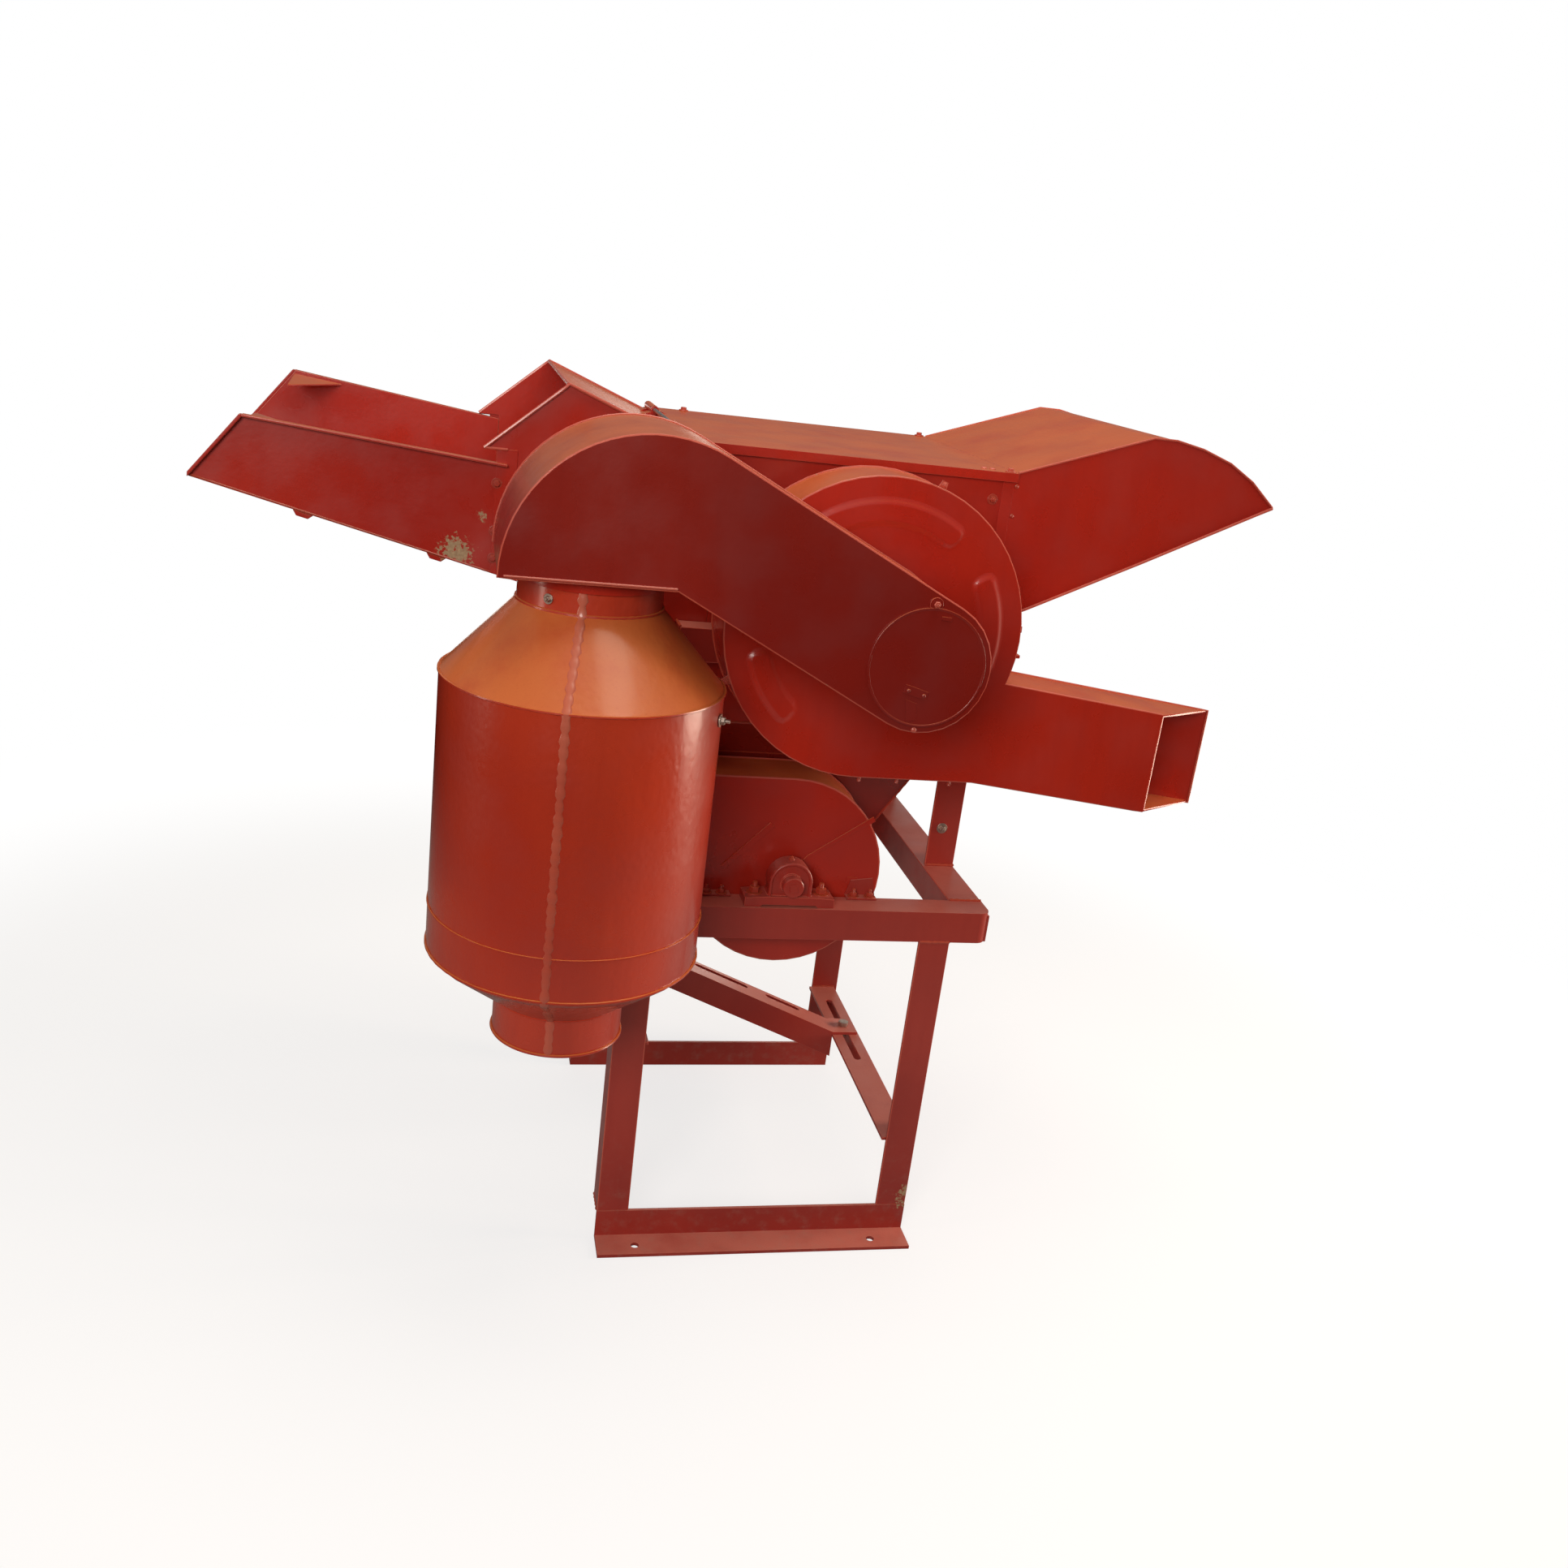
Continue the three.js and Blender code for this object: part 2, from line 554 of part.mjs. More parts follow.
function hood() {
  const left = CHAMBER_RIGHT + SHEET + GAP;
  const start = COVER_RIGHT + 2 * GAP;
  const under = hoodCurve(SHEET);
  const wall = [
    [left, DISCHARGE_Z], [301, 953], [462, 1032], ...under.slice().reverse(),
    [start, COVER_Z + GAP], [start, CHAMBER_TOP], [left, CHAMBER_TOP],
  ];
  const roof = [[start, COVER_Z + SHEET], ...hoodCurve(0), ...under.slice().reverse(), [start, COVER_Z]];
  let body = prism('y', wall, CHAMBER_FRONT, CHAMBER_FRONT + SHEET);
  body = body.add(prism('y', wall, CHAMBER_BACK - SHEET, CHAMBER_BACK));
  return body.add(prism('y', roof, CHAMBER_FRONT, CHAMBER_BACK));
}

function feedTray() {
  const right = TRAY_RIGHT - GAP;
  const floor = [
    [TRAY_LEFT, floorAt(TRAY_LEFT)], [TRAY_LEFT, floorAt(TRAY_LEFT) - SHEET],
    [right, floorAt(right) - SHEET], [right, floorAt(right)],
  ];
  const nearRim = { x: -735, left: 1112, right: 1082 };
  const farRim = { x: -717, left: 1134, right: 1094 };
  const wall = (rim) => [
    [TRAY_LEFT, floorAt(TRAY_LEFT) - SHEET], [right, floorAt(right) - SHEET],
    [right, rim.right], [rim.x, rim.left],
  ];
  const lip = (rim) => [
    [right, rim.right], [rim.x, rim.left], [rim.x, rim.left + SHEET], [right, rim.right + SHEET],
  ];
  let body = prism('y', floor, CHAMBER_FRONT, CHAMBER_BACK);
  body = body.add(prism('y', wall(nearRim), CHAMBER_FRONT, CHAMBER_FRONT + SHEET));
  body = body.add(prism('y', wall(farRim), CHAMBER_BACK - SHEET, CHAMBER_BACK));
  body = body.add(prism('y', lip(nearRim), CHAMBER_FRONT - 10, CHAMBER_FRONT + SHEET));
  return body.add(prism('y', lip(farRim), CHAMBER_BACK - SHEET, CHAMBER_BACK + 10));
}

add('feed_tray', 'enamel', feedTray());
add('feed_throat', 'enamel', feedThroat());
add('top_cover', 'enamel', topCover());
add('cover_hinge_pin', 'steel', rod('y', HINGE_X, HINGE_Z, HINGE_BORE - GAP, 134, 498, 12));
add('discharge_hood', 'enamel', hood());

// ---------------------------------------------------------------- rotor
const PIN_ANGLES = [45, 135, 225, 315];
const pinAt = (deg) => {
  const a = THREE.MathUtils.degToRad(deg);
  return [ROTOR_X + PIN_CIRCLE_R * Math.cos(a), ROTOR_Z + PIN_CIRCLE_R * Math.sin(a)];
};

function rotor() {
  let body = rod('y', ROTOR_X, ROTOR_Z, SHAFT_R, -25, 640, 20);
  body = body.add(rod('y', ROTOR_X, ROTOR_Z, ROTOR_CORE_R, 112, 516, 20));
  for (const y of ROTOR_DISC_YS) {
    body = body.add(rod('y', ROTOR_X, ROTOR_Z, ROTOR_DISC_R, y - DISC_T / 2, y + DISC_T / 2, 32));
  }
  for (const deg of PIN_ANGLES) {
    const [x, z] = pinAt(deg);
    body = body.subtract(rod('y', x, z, PIN_R + GAP + 0.1, 120, 510, 12));
  }
  return body;
}

function hammerPin(deg) {
  const [x, z] = pinAt(deg);
  const front = ROTOR_DISC_YS[0] - DISC_T / 2 - 0.5;
  const back = ROTOR_DISC_YS[2] + DISC_T / 2 + 0.5;
  let pin = rod('y', x, z, PIN_R, front - 1, back + 1, 12);
  pin = pin.add(rod('y', x, z, 9.5, front - 4, front, 12));
  return pin.add(rod('y', x, z, 9.5, back, back + 4, 12));
}

// Each hammer hangs straight down from its pin.
function hammer(deg, y) {
  const [x, z] = pinAt(deg);
  const half = HAMMER_WIDTH / 2;
  const outline = [
    [x - half, z - HAMMER_REACH], [x + half, z - HAMMER_REACH],
    ...arc(x, z, half, 0, 180, 8),
  ];
  const blank = prism('y', outline, y - HAMMER_T / 2, y + HAMMER_T / 2);
  return blank.subtract(rod('y', x, z, PIN_R + 0.5, y - 20, y + 20, 12));
}

add('rotor', 'steel', rotor());
PIN_ANGLES.forEach((deg, index) => {
  add(`hammer_pin_${index + 1}`, 'steel', hammerPin(deg));
  const stagger = 178 + index * 34;
  add(`hammer_${2 * index + 1}`, 'hammer_steel', hammer(deg, stagger));
  add(`hammer_${2 * index + 2}`, 'hammer_steel', hammer(deg, stagger + 164));
});

// ---------------------------------------------------------------- fan
function fanOutline(inset) {
  const low = ROTOR_Z - FAN_R;
  const drop = 0.121;
  const end = 640;
  const knee = 212;
  const top = 881.7;
  const disc = circle(ROTOR_X, ROTOR_Z, FAN_R - inset, 52);
  const outlet = [
    [ROTOR_X, low + inset], [knee, low + inset], [end, low + inset - (end - knee) * drop],
    [end, top - inset - (end - 200) * drop], [200, top - inset], [ROTOR_X, top - inset],
  ];
  return [disc, outlet];
}

function fanSpace(inset, front, back) {
  const [disc, outlet] = fanOutline(inset);
  return prism('y', disc, front, back).add(prism('y', outlet, front, back));
}

function fanHousing() {
  const lean = (FAN_OUTLET_FAR_X - FAN_OUTLET_X) / (FAN_BACK - FAN_FRONT);
  const cutAt = (y) => [FAN_OUTLET_X + (y - FAN_FRONT) * lean, y];
  const beyond = [
    cutAt(FAN_FRONT - 100), [900, FAN_FRONT - 100], [900, FAN_BACK + 100], cutAt(FAN_BACK + 100),
  ];
  let body = fanSpace(0, FAN_FRONT, FAN_BACK);
  body = body.subtract(fanSpace(SHEET, FAN_FRONT + SHEET, FAN_BACK - SHEET));
  body = body.subtract(prism('z', beyond, 600, 1200));
  body = body.subtract(rod('y', ROTOR_X, ROTOR_Z, FAN_EYE_R, FAN_FRONT - 5, FAN_FRONT + 5));
  return body.subtract(rod('y', ROTOR_X, ROTOR_Z, 14, FAN_BACK - 5, FAN_BACK + 5, 24));
}

function fanImpeller() {
  const blades = 6;
  const reach = FAN_R - 26;
  let body = rod('y', ROTOR_X, ROTOR_Z, reach, 40, 43, 32);
  body = body.add(rod('y', ROTOR_X, ROTOR_Z, 26, -8, 50, 16));
  const blade = box(12, reach - 2, -18, 41, -1.5, 1.5);
  for (let i = 0; i < blades; i += 1) {
    body = body.add(blade.rotate([0, (i * 360) / blades, 0]).translate([ROTOR_X, 0, ROTOR_Z]));
  }
  return body.subtract(rod('y', ROTOR_X, ROTOR_Z, BORE_R, -30, 60, 20));
}

add('fan_housing', 'enamel', fanHousing());
add('fan_impeller', 'steel', fanImpeller());

// ---------------------------------------------------------------- suction duct
function ductOutline(inset) {
  const big = DUCT_BIG.r - inset;
  const small = DUCT_SMALL.r - inset;
  const dx = DUCT_SMALL.x - DUCT_BIG.x;
  const dz = DUCT_SMALL.z - DUCT_BIG.z;
  const toDeg = THREE.MathUtils.radToDeg;
  const upper = toDeg(Math.atan2(dz, dx)) + toDeg(Math.acos((big - small) / Math.hypot(dx, dz)));
  const floorZ = DUCT_BIG.z + inset;
  const corner = [DUCT_FLAT_END_X - inset * 0.25, floorZ];
  const ex = DUCT_SMALL.x - corner[0];
  const ez = DUCT_SMALL.z - corner[1];
  const lower = toDeg(Math.atan2(ez, ex)) - toDeg(Math.asin(small / Math.hypot(ex, ez))) - 90;
  const start = 180 - toDeg(Math.asin(inset / big));
  return [
    ...arc(DUCT_BIG.x, DUCT_BIG.z, big, start, upper, 20),
    ...arc(DUCT_SMALL.x, DUCT_SMALL.z, small, upper, lower, 14),
    corner,
  ];
}

function suctionDuct() {
  const wall = 2.5;
  const back = FAN_FRONT - GAP;
  let body = prism('y', ductOutline(0), DUCT_FRONT, back);
  body = body.subtract(prism('y', ductOutline(wall), DUCT_FRONT + wall, back - wall));
  body = body.subtract(rod('z', CYCLONE_X, CYCLONE_Y, CYCLONE_OUTLET_R, DUCT_BIG.z - 5, DUCT_BIG.z + 12));
  body = body.subtract(rod('y', ROTOR_X, ROTOR_Z, FAN_EYE_R - 2, back - 6, back + 6));
  body = body.subtract(rod('y', DUCT_SMALL.x, DUCT_SMALL.z, 60, DUCT_FRONT - 5, DUCT_FRONT + 5));
  return body.add(rod('y', DUCT_SMALL.x, EYE_PIVOT_Z, 2.2, DUCT_FRONT - 7, DUCT_FRONT + 1, 16));
}

function eyeCover() {
  const front = DUCT_FRONT - GAP - 2;
  const back = DUCT_FRONT - GAP;
  let body = rod('y', DUCT_SMALL.x, DUCT_SMALL.z, EYE_COVER_R, front, back);
  body = body.add(rod('y', DUCT_SMALL.x, EYE_PIVOT_Z, 8, front, back, 20));
  return body.subtract(rod('y', DUCT_SMALL.x, EYE_PIVOT_Z, 2.6, front - 5, back + 5, 16));
}

add('suction_duct', 'enamel_dark', suctionDuct());
add('eye_cover', 'enamel_dark', eyeCover());

// ---------------------------------------------------------------- cyclone and throwing drum
const CYCLONE_PROFILE = [
  [CYCLONE_OUTLET_R, 425], [CYCLONE_OUTLET_R, 474], [159, 534], [CYCLONE_R, 542], [CYCLONE_R, 882],
  [CYCLONE_NECK_R, 971], [CYCLONE_NECK_R, DUCT_BIG.z - GAP],
];
const CYCLONE_WALL = 2.5;
const TRANSFER_NEAR = [THROWER_OUTLET_X - GAP, THROWER_FRONT];
const TRANSFER_FAR = [THROWER_OUTLET_X - GAP, THROWER_BACK];
const THROWER_TOP = THROWER_Z + THROWER_R;

// The slanting duct runs on a tangent into the back of the cyclone.
function transferOutline(inset, runOn) {
  const ends = [[CYCLONE_X, CYCLONE_Y + CYCLONE_R - 3], [CYCLONE_X, CYCLONE_Y + CYCLONE_R - 62]];
  const near = [TRANSFER_NEAR[0] + runOn, TRANSFER_NEAR[1] + inset];
  const far = [TRANSFER_FAR[0] + runOn, TRANSFER_FAR[1] - inset];
  return [near, far, [ends[0][0], ends[0][1] - inset], [ends[1][0], ends[1][1] + inset]];
}

function cycloneBody() {
  const inner = CYCLONE_PROFILE.map(([r, z]) => [r - CYCLONE_WALL, z]).reverse();
  const shell = turned([...CYCLONE_PROFILE, ...inner], CYCLONE_X, CYCLONE_Y);
  const port = prism('z', transferOutline(SHEET, 0), THROWER_OUTLET_BOTTOM + SHEET, THROWER_TOP - SHEET);
  return shell.subtract(port);
}

function transferDuct() {
  const outer = prism('z', transferOutline(0, 0), THROWER_OUTLET_BOTTOM, THROWER_TOP);
  const inner = prism('z', transferOutline(SHEET, 2), THROWER_OUTLET_BOTTOM + SHEET, THROWER_TOP - SHEET);
  const shell = rod('z', CYCLONE_X, CYCLONE_Y, CYCLONE_R + GAP, 500, 900);
  return outer.subtract(inner).subtract(shell);
}

function cycloneBracket() {
  const block = box(-262, -196, -34, -GAP, TABLE_Z - 42, TABLE_Z - 6);
  return block.subtract(rod('z', CYCLONE_X, CYCLONE_Y, CYCLONE_R + GAP, 400, 700));
}

function throwerSpace(inset, front, back, openEnd) {
  const drum = rod('y', THROWER_X, THROWER_Z, THROWER_R - inset, front, back, 44);
  const duct = box(THROWER_OUTLET_X - openEnd, THROWER_X, front, back,
    THROWER_OUTLET_BOTTOM + inset, THROWER_TOP - inset);
  return drum.add(duct);
}

function throwerCasing() {
  let body = throwerSpace(0, THROWER_FRONT, THROWER_BACK, 0);
  body = body.subtract(throwerSpace(SHEET, THROWER_FRONT + SHEET, THROWER_BACK - SHEET, 5));
  body = body.subtract(rod('y', THROWER_X, THROWER_Z, 13, THROWER_FRONT - 5, THROWER_FRONT + 5, 24));
  return body.subtract(rod('y', THROWER_X, THROWER_Z, THROWER_EYE_R, THROWER_BACK - 5, THROWER_BACK + 5, 32));
}

function throwerRotor() {
  const paddles = 4;
  const front = THROWER_FRONT + 9;
  const back = THROWER_BACK - 9;
  let body = rod('y', THROWER_X, THROWER_Z, SHAFT_R, -6, 632, 24);
  body = body.add(rod('y', THROWER_X, THROWER_Z, 20, front, back, 24));
  const paddle = box(5, THROWER_R - 14, front, back, -2, 2);
  for (let i = 0; i < paddles; i += 1) {
    body = body.add(paddle.rotate([0, 20 + (i * 360) / paddles, 0]).translate([THROWER_X, 0, THROWER_Z]));
  }
  return body;
}

add('cyclone', 'enamel', cycloneBody());
add('cyclone_bracket', 'enamel', cycloneBracket());
add('transfer_duct', 'enamel', transferDuct());
add('thrower_casing', 'enamel', throwerCasing());
add('thrower_rotor', 'steel', throwerRotor());

// ---------------------------------------------------------------- belt drive
function pulley(x, z, r, grooves) {
  const half = 9;
  const width = 22;
  const first = BELT_Y - width / 2;
  const profile = [[BORE_R, first]];
  for (let g = 0; g < grooves; g += 1) {
    const y = first + g * width + width / 2;
    profile.push([r, y - width / 2], [r, y - half], [r - BELT_DEPTH - 2, y - half + 3.5]);
    profile.push([r - BELT_DEPTH - 2, y + half - 3.5], [r, y + half], [r, y + width / 2]);
  }
  const last = first + grooves * width;
  profile.push([BORE_R, last]);
  const clean = profile.filter((p, i) => i === 0 || p[0] !== profile[i - 1][0] || p[1] !== profile[i - 1][1]);
  return turnedAlongY(clean, x, z, 28);
}

function beltOutline(rotorR, throwerR) {
  const dx = THROWER_X - ROTOR_X;
  const dz = THROWER_Z - ROTOR_Z;
  const base = THREE.MathUtils.radToDeg(Math.atan2(dz, dx));
  const spread = THREE.MathUtils.radToDeg(Math.acos((rotorR - throwerR) / Math.hypot(dx, dz)));
  return [
    ...arc(ROTOR_X, ROTOR_Z, rotorR, base + spread, base + 360 - spread, 20),
    ...arc(THROWER_X, THROWER_Z, throwerR, base - spread, base + spread, 14),
  ];
}

function belt() {
  const front = BELT_Y - BELT_WIDTH / 2;
  const back = BELT_Y + BELT_WIDTH / 2;
  const outer = prism('y', beltOutline(ROTOR_PULLEY_R - 1, THROWER_PULLEY_R - 1), front, back);
  const inner = beltOutline(ROTOR_PULLEY_R - BELT_DEPTH, THROWER_PULLEY_R - BELT_DEPTH);
  return outer.subtract(prism('y', inner, front - 1, back + 1));
}

add('rotor_pulley', 'cast', pulley(ROTOR_X, ROTOR_Z, ROTOR_PULLEY_R, 1));
add('thrower_pulley', 'cast', pulley(THROWER_X, THROWER_Z, THROWER_PULLEY_R, 1));
add('drive_belt', 'rubber', belt());

// The origin is the middle of the machine's box, on the ground.
const bounds = new THREE.Box3().setFromObject(machine);
const middle = bounds.getCenter(new THREE.Vector3());
machine.position.set(-middle.x, -middle.y, -bounds.min.z);

export default machine;
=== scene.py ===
"""Looks of the small hammer mill: paint, welds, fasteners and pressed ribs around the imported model."""
import json
import math
import random

import bpy
from mathutils import Matrix, Vector


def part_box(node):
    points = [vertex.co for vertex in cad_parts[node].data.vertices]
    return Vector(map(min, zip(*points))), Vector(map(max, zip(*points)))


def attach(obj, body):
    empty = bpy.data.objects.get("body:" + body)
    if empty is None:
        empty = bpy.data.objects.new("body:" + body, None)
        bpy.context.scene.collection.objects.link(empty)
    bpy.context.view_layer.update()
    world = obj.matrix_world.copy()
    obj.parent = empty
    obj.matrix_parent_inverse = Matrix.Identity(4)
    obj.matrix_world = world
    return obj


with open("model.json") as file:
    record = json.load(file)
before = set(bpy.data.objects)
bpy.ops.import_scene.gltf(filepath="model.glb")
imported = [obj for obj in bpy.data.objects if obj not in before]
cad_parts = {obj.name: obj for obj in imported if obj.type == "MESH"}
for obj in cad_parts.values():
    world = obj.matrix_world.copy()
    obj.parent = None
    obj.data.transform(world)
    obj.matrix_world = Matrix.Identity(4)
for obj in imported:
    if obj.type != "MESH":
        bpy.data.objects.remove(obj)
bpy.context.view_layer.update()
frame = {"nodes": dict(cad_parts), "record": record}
NODES = frame["nodes"]
random.seed(7)

# The machine's own datum: middle of the front legs, their front plane, and the ground.
_rail_low, _rail_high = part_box("base_rail_front")
DATUM = Vector(((_rail_low.x + _rail_high.x) / 2, _rail_high.y - 0.005, _rail_low.z))
MM = 0.001
X, Y, Z = Vector((1, 0, 0)), Vector((0, 1, 0)), Vector((0, 0, 1))


def at(x, y, z):
    """A point given in millimetres from the machine's datum, in the row frame."""
    return DATUM + Vector((x, y, z)) * MM


# ---------------------------------------------------------------- materials
class Nodes:
    """A short way to wire shader nodes."""

    def __init__(self, name):
        self.material = bpy.data.materials.new(name)
        self.material.use_nodes = True
        self.tree = self.material.node_tree
        self.shader = self.tree.nodes["Principled BSDF"]
        coordinates = self.tree.nodes.new("ShaderNodeTexCoord")
        self.place = coordinates.outputs["Object"]

    def put(self, value, socket):
        if isinstance(value, bpy.types.NodeSocket):
            self.tree.links.new(value, socket)
        else:
            socket.default_value = value

    def noise(self, scale, detail=3.0, rough=0.5, stretch=None):
        node = self.tree.nodes.new("ShaderNodeTexNoise")
        node.inputs["Scale"].default_value = scale
        node.inputs["Detail"].default_value = detail
        node.inputs["Roughness"].default_value = rough
        self.put(self.stretched(stretch) if stretch else self.place, node.inputs["Vector"])
        return node.outputs["Fac"]

    def stretched(self, factors):
        node = self.tree.nodes.new("ShaderNodeMapping")
        node.inputs["Scale"].default_value = factors
        self.put(self.place, node.inputs["Vector"])
        return node.outputs["Vector"]

    def cells(self, scale, feature="F1", stretch=None):
        node = self.tree.nodes.new("ShaderNodeTexVoronoi")
        node.feature = feature
        node.inputs["Scale"].default_value = scale
        self.put(self.stretched(stretch) if stretch else self.place, node.inputs["Vector"])
        return node.outputs["Distance"]

    def math(self, operation, a, b=0.0):
        node = self.tree.nodes.new("ShaderNodeMath")
        node.operation = operation
        node.use_clamp = operation in ("ADD", "MULTIPLY")
        self.put(a, node.inputs[0])
        self.put(b, node.inputs[1])
        return node.outputs[0]

    def span(self, value, low, high, to_low=0.0, to_high=1.0):
        node = self.tree.nodes.new("ShaderNodeMapRange")
        node.interpolation_type = "SMOOTHSTEP"
        self.put(value, node.inputs["Value"])
        for socket, number in zip(("From Min", "From Max", "To Min", "To Max"), (low, high, to_low, to_high)):
            node.inputs[socket].default_value = number
        return node.outputs["Result"]

    def mix(self, share, a, b, blend="MIX"):
        node = self.tree.nodes.new("ShaderNodeMix")
        node.data_type = "RGBA"
        node.blend_type = blend
        self.put(share, node.inputs["Factor"])
        self.put(a, node.inputs[6])
        self.put(b, node.inputs[7])
        return node.outputs[2]

    def part(self, vector, axis):
        node = self.tree.nodes.new("ShaderNodeSeparateXYZ")
        self.put(vector, node.inputs[0])
        return node.outputs[axis]

    def normal_up(self):
        node = self.tree.nodes.new("ShaderNodeNewGeometry")
        return self.part(node.outputs["Normal"], 2)

    def distance(self, point):
        node = self.tree.nodes.new("ShaderNodeVectorMath")
        node.operation = "DISTANCE"
        self.put(self.place, node.inputs[0])
        node.inputs[1].default_value = point
        return node.outputs["Value"]

    def near(self, point, reach):
        """1 at a point and 0 from reach metres away."""
        return self.span(self.distance(point), reach, 0.0)

    def bump(self, height, strength, distance):
        node = self.tree.nodes.new("ShaderNodeBump")
        node.inputs["Strength"].default_value = strength
        node.inputs["Distance"].default_value = distance
        self.put(height, node.inputs["Height"])
        self.tree.links.new(node.outputs["Normal"], self.shader.inputs["Normal"])

    def finish(self, colour, rough, metallic=0.0, coat=0.0, coat_rough=0.1, specular=0.5):
        self.put(colour, self.shader.inputs["Base Color"])
        self.put(rough, self.shader.inputs["Roughness"])
        self.shader.inputs["Metallic"].default_value = metallic
        self.shader.inputs["Coat Weight"].default_value = coat
        self.shader.inputs["Coat Roughness"].default_value = coat_rough
        self.shader.inputs["Specular IOR Level"].default_value = specular
        return self.material


def rgb(red, green, blue):
    return (red, green, blue, 1.0)


def paint(name, base, deep, dust, gloss=0.3, hammered=0.0, dust_and_light_share=0.3, worn=0.0, chips=(), coat=0.35):
    """Enamel: uneven coat, dust and a painted warm top light on what faces up, orange peel, runs, and bare
    spots where it is worn.
    """
    n = Nodes(name)
    cloud = n.noise(3.5, 4.0)
    streak = n.noise(9.0, 5.0, 0.6, stretch=(6.0, 6.0, 0.7))
    colour = n.mix(n.span(cloud, 0.32, 0.7), base, deep)
    colour = n.mix(n.span(streak, 0.35, 0.85, 0.0, 0.3), colour, deep)
    patches = n.span(n.noise(12.0, 6.0, 0.6), 0.2, 0.6, 0.55, 1.0)
    # Upward faces get the dust colour at a high share; it also stands in for the warm light falling on the
    # tops, as painted top light.
    up_faces_dust_and_light = n.math("MULTIPLY", n.span(n.normal_up(), 0.3, 0.8), patches)
    colour = n.mix(n.math("MULTIPLY", up_faces_dust_and_light, dust_and_light_share), colour, dust)
    height = n.part(n.place, 2)
    spots = n.span(n.noise(60.0, 4.0, 0.6), 0.45, 0.9, 0.0, 0.3)
    splash = n.math("MULTIPLY", n.span(height, 0.22, 0.0), spots)
    colour = n.mix(splash, colour, rgb(0.33, 0.24, 0.19))
    peel = n.noise(170.0, 2.0)
    speckle = n.noise(420.0, 1.0)
    colour = n.mix(n.span(speckle, 0.55, 0.8, 0.0, 0.12), colour, deep)
    rough = n.span(n.noise(14.0, 5.0), 0.3, 0.75, gloss - 0.06, gloss + 0.14)
    rough = n.math("ADD", rough, n.math("MULTIPLY", up_faces_dust_and_light, 0.16))
    bare = None
    if worn:
        bare = n.span(n.noise(150.0, 6.0, 0.75), 0.66 - worn, 0.7 - worn)
    for point, reach, low in chips:
        spot = n.math("MULTIPLY", n.near(point, reach), 0.42)
        flake = n.span(n.math("ADD", n.noise(190.0, 5.0, 0.7), spot), low, low + 0.03)
        flake = n.math("MULTIPLY", flake, n.span(n.near(point, reach), 0.02, 0.1))
        bare = flake if bare is None else n.math("MAXIMUM", bare, flake)
    if bare is not None:
        rust = n.mix(n.noise(300.0, 4.0), rgb(0.55, 0.42, 0.24), rgb(0.2, 0.09, 0.04))
        colour = n.mix(bare, colour, rust)
        rough = n.math("ADD", rough, n.math("MULTIPLY", bare, 0.35))
    relief = n.math("ADD", n.math("MULTIPLY", peel, 0.2), n.math("MULTIPLY", n.noise(6.0, 1.0), 0.8))
    if hammered:
        dimple = n.cells(150.0, "SMOOTH_F1", stretch=(1.0, 1.0, 0.7))
        relief = n.mix(hammered, relief, dimple)
    n.bump(relief, 0.5, 0.0016 if hammered else 0.0012)
    return n.finish(colour, rough, coat=coat, coat_rough=0.16)


def bare_metal(name, base, dark, rough=0.35, grain=(1.0, 40.0, 40.0)):
    """Turned or sheared steel with grain, oil stains and a little rust."""
    n = Nodes(name)
    lines = n.noise(60.0, 4.0, 0.6, stretch=grain)
    stain = n.noise(22.0, 5.0, 0.6)
    colour = n.mix(n.span(lines, 0.3, 0.7), base, dark)
    colour = n.mix(n.span(stain, 0.56, 0.74, 0.0, 0.6), colour, rgb(0.16, 0.07, 0.035))
    grained = n.span(lines, 0.2, 0.8, rough - 0.08, rough + 0.1)
    roughness = n.math("ADD", grained, n.span(stain, 0.55, 0.75, 0.0, 0.3))
    n.bump(lines, 0.25, 0.0004)
    return n.finish(colour, roughness, metallic=0.9)


def rubber(name):
    """Moulded belt rubber with a fabric cover and chalky dust."""
    n = Nodes(name)
    weave = n.noise(900.0, 3.0, 0.7, stretch=(1.0, 3.0, 1.0))
    dust = n.span(n.noise(40.0, 5.0), 0.5, 0.8, 0.0, 0.5)
    colour = n.mix(dust, rgb(0.018, 0.018, 0.02), rgb(0.1, 0.075, 0.06))
    n.bump(weave, 0.5, 0.0005)
    return n.finish(colour, n.span(weave, 0.2, 0.8, 0.62, 0.85), specular=0.3)


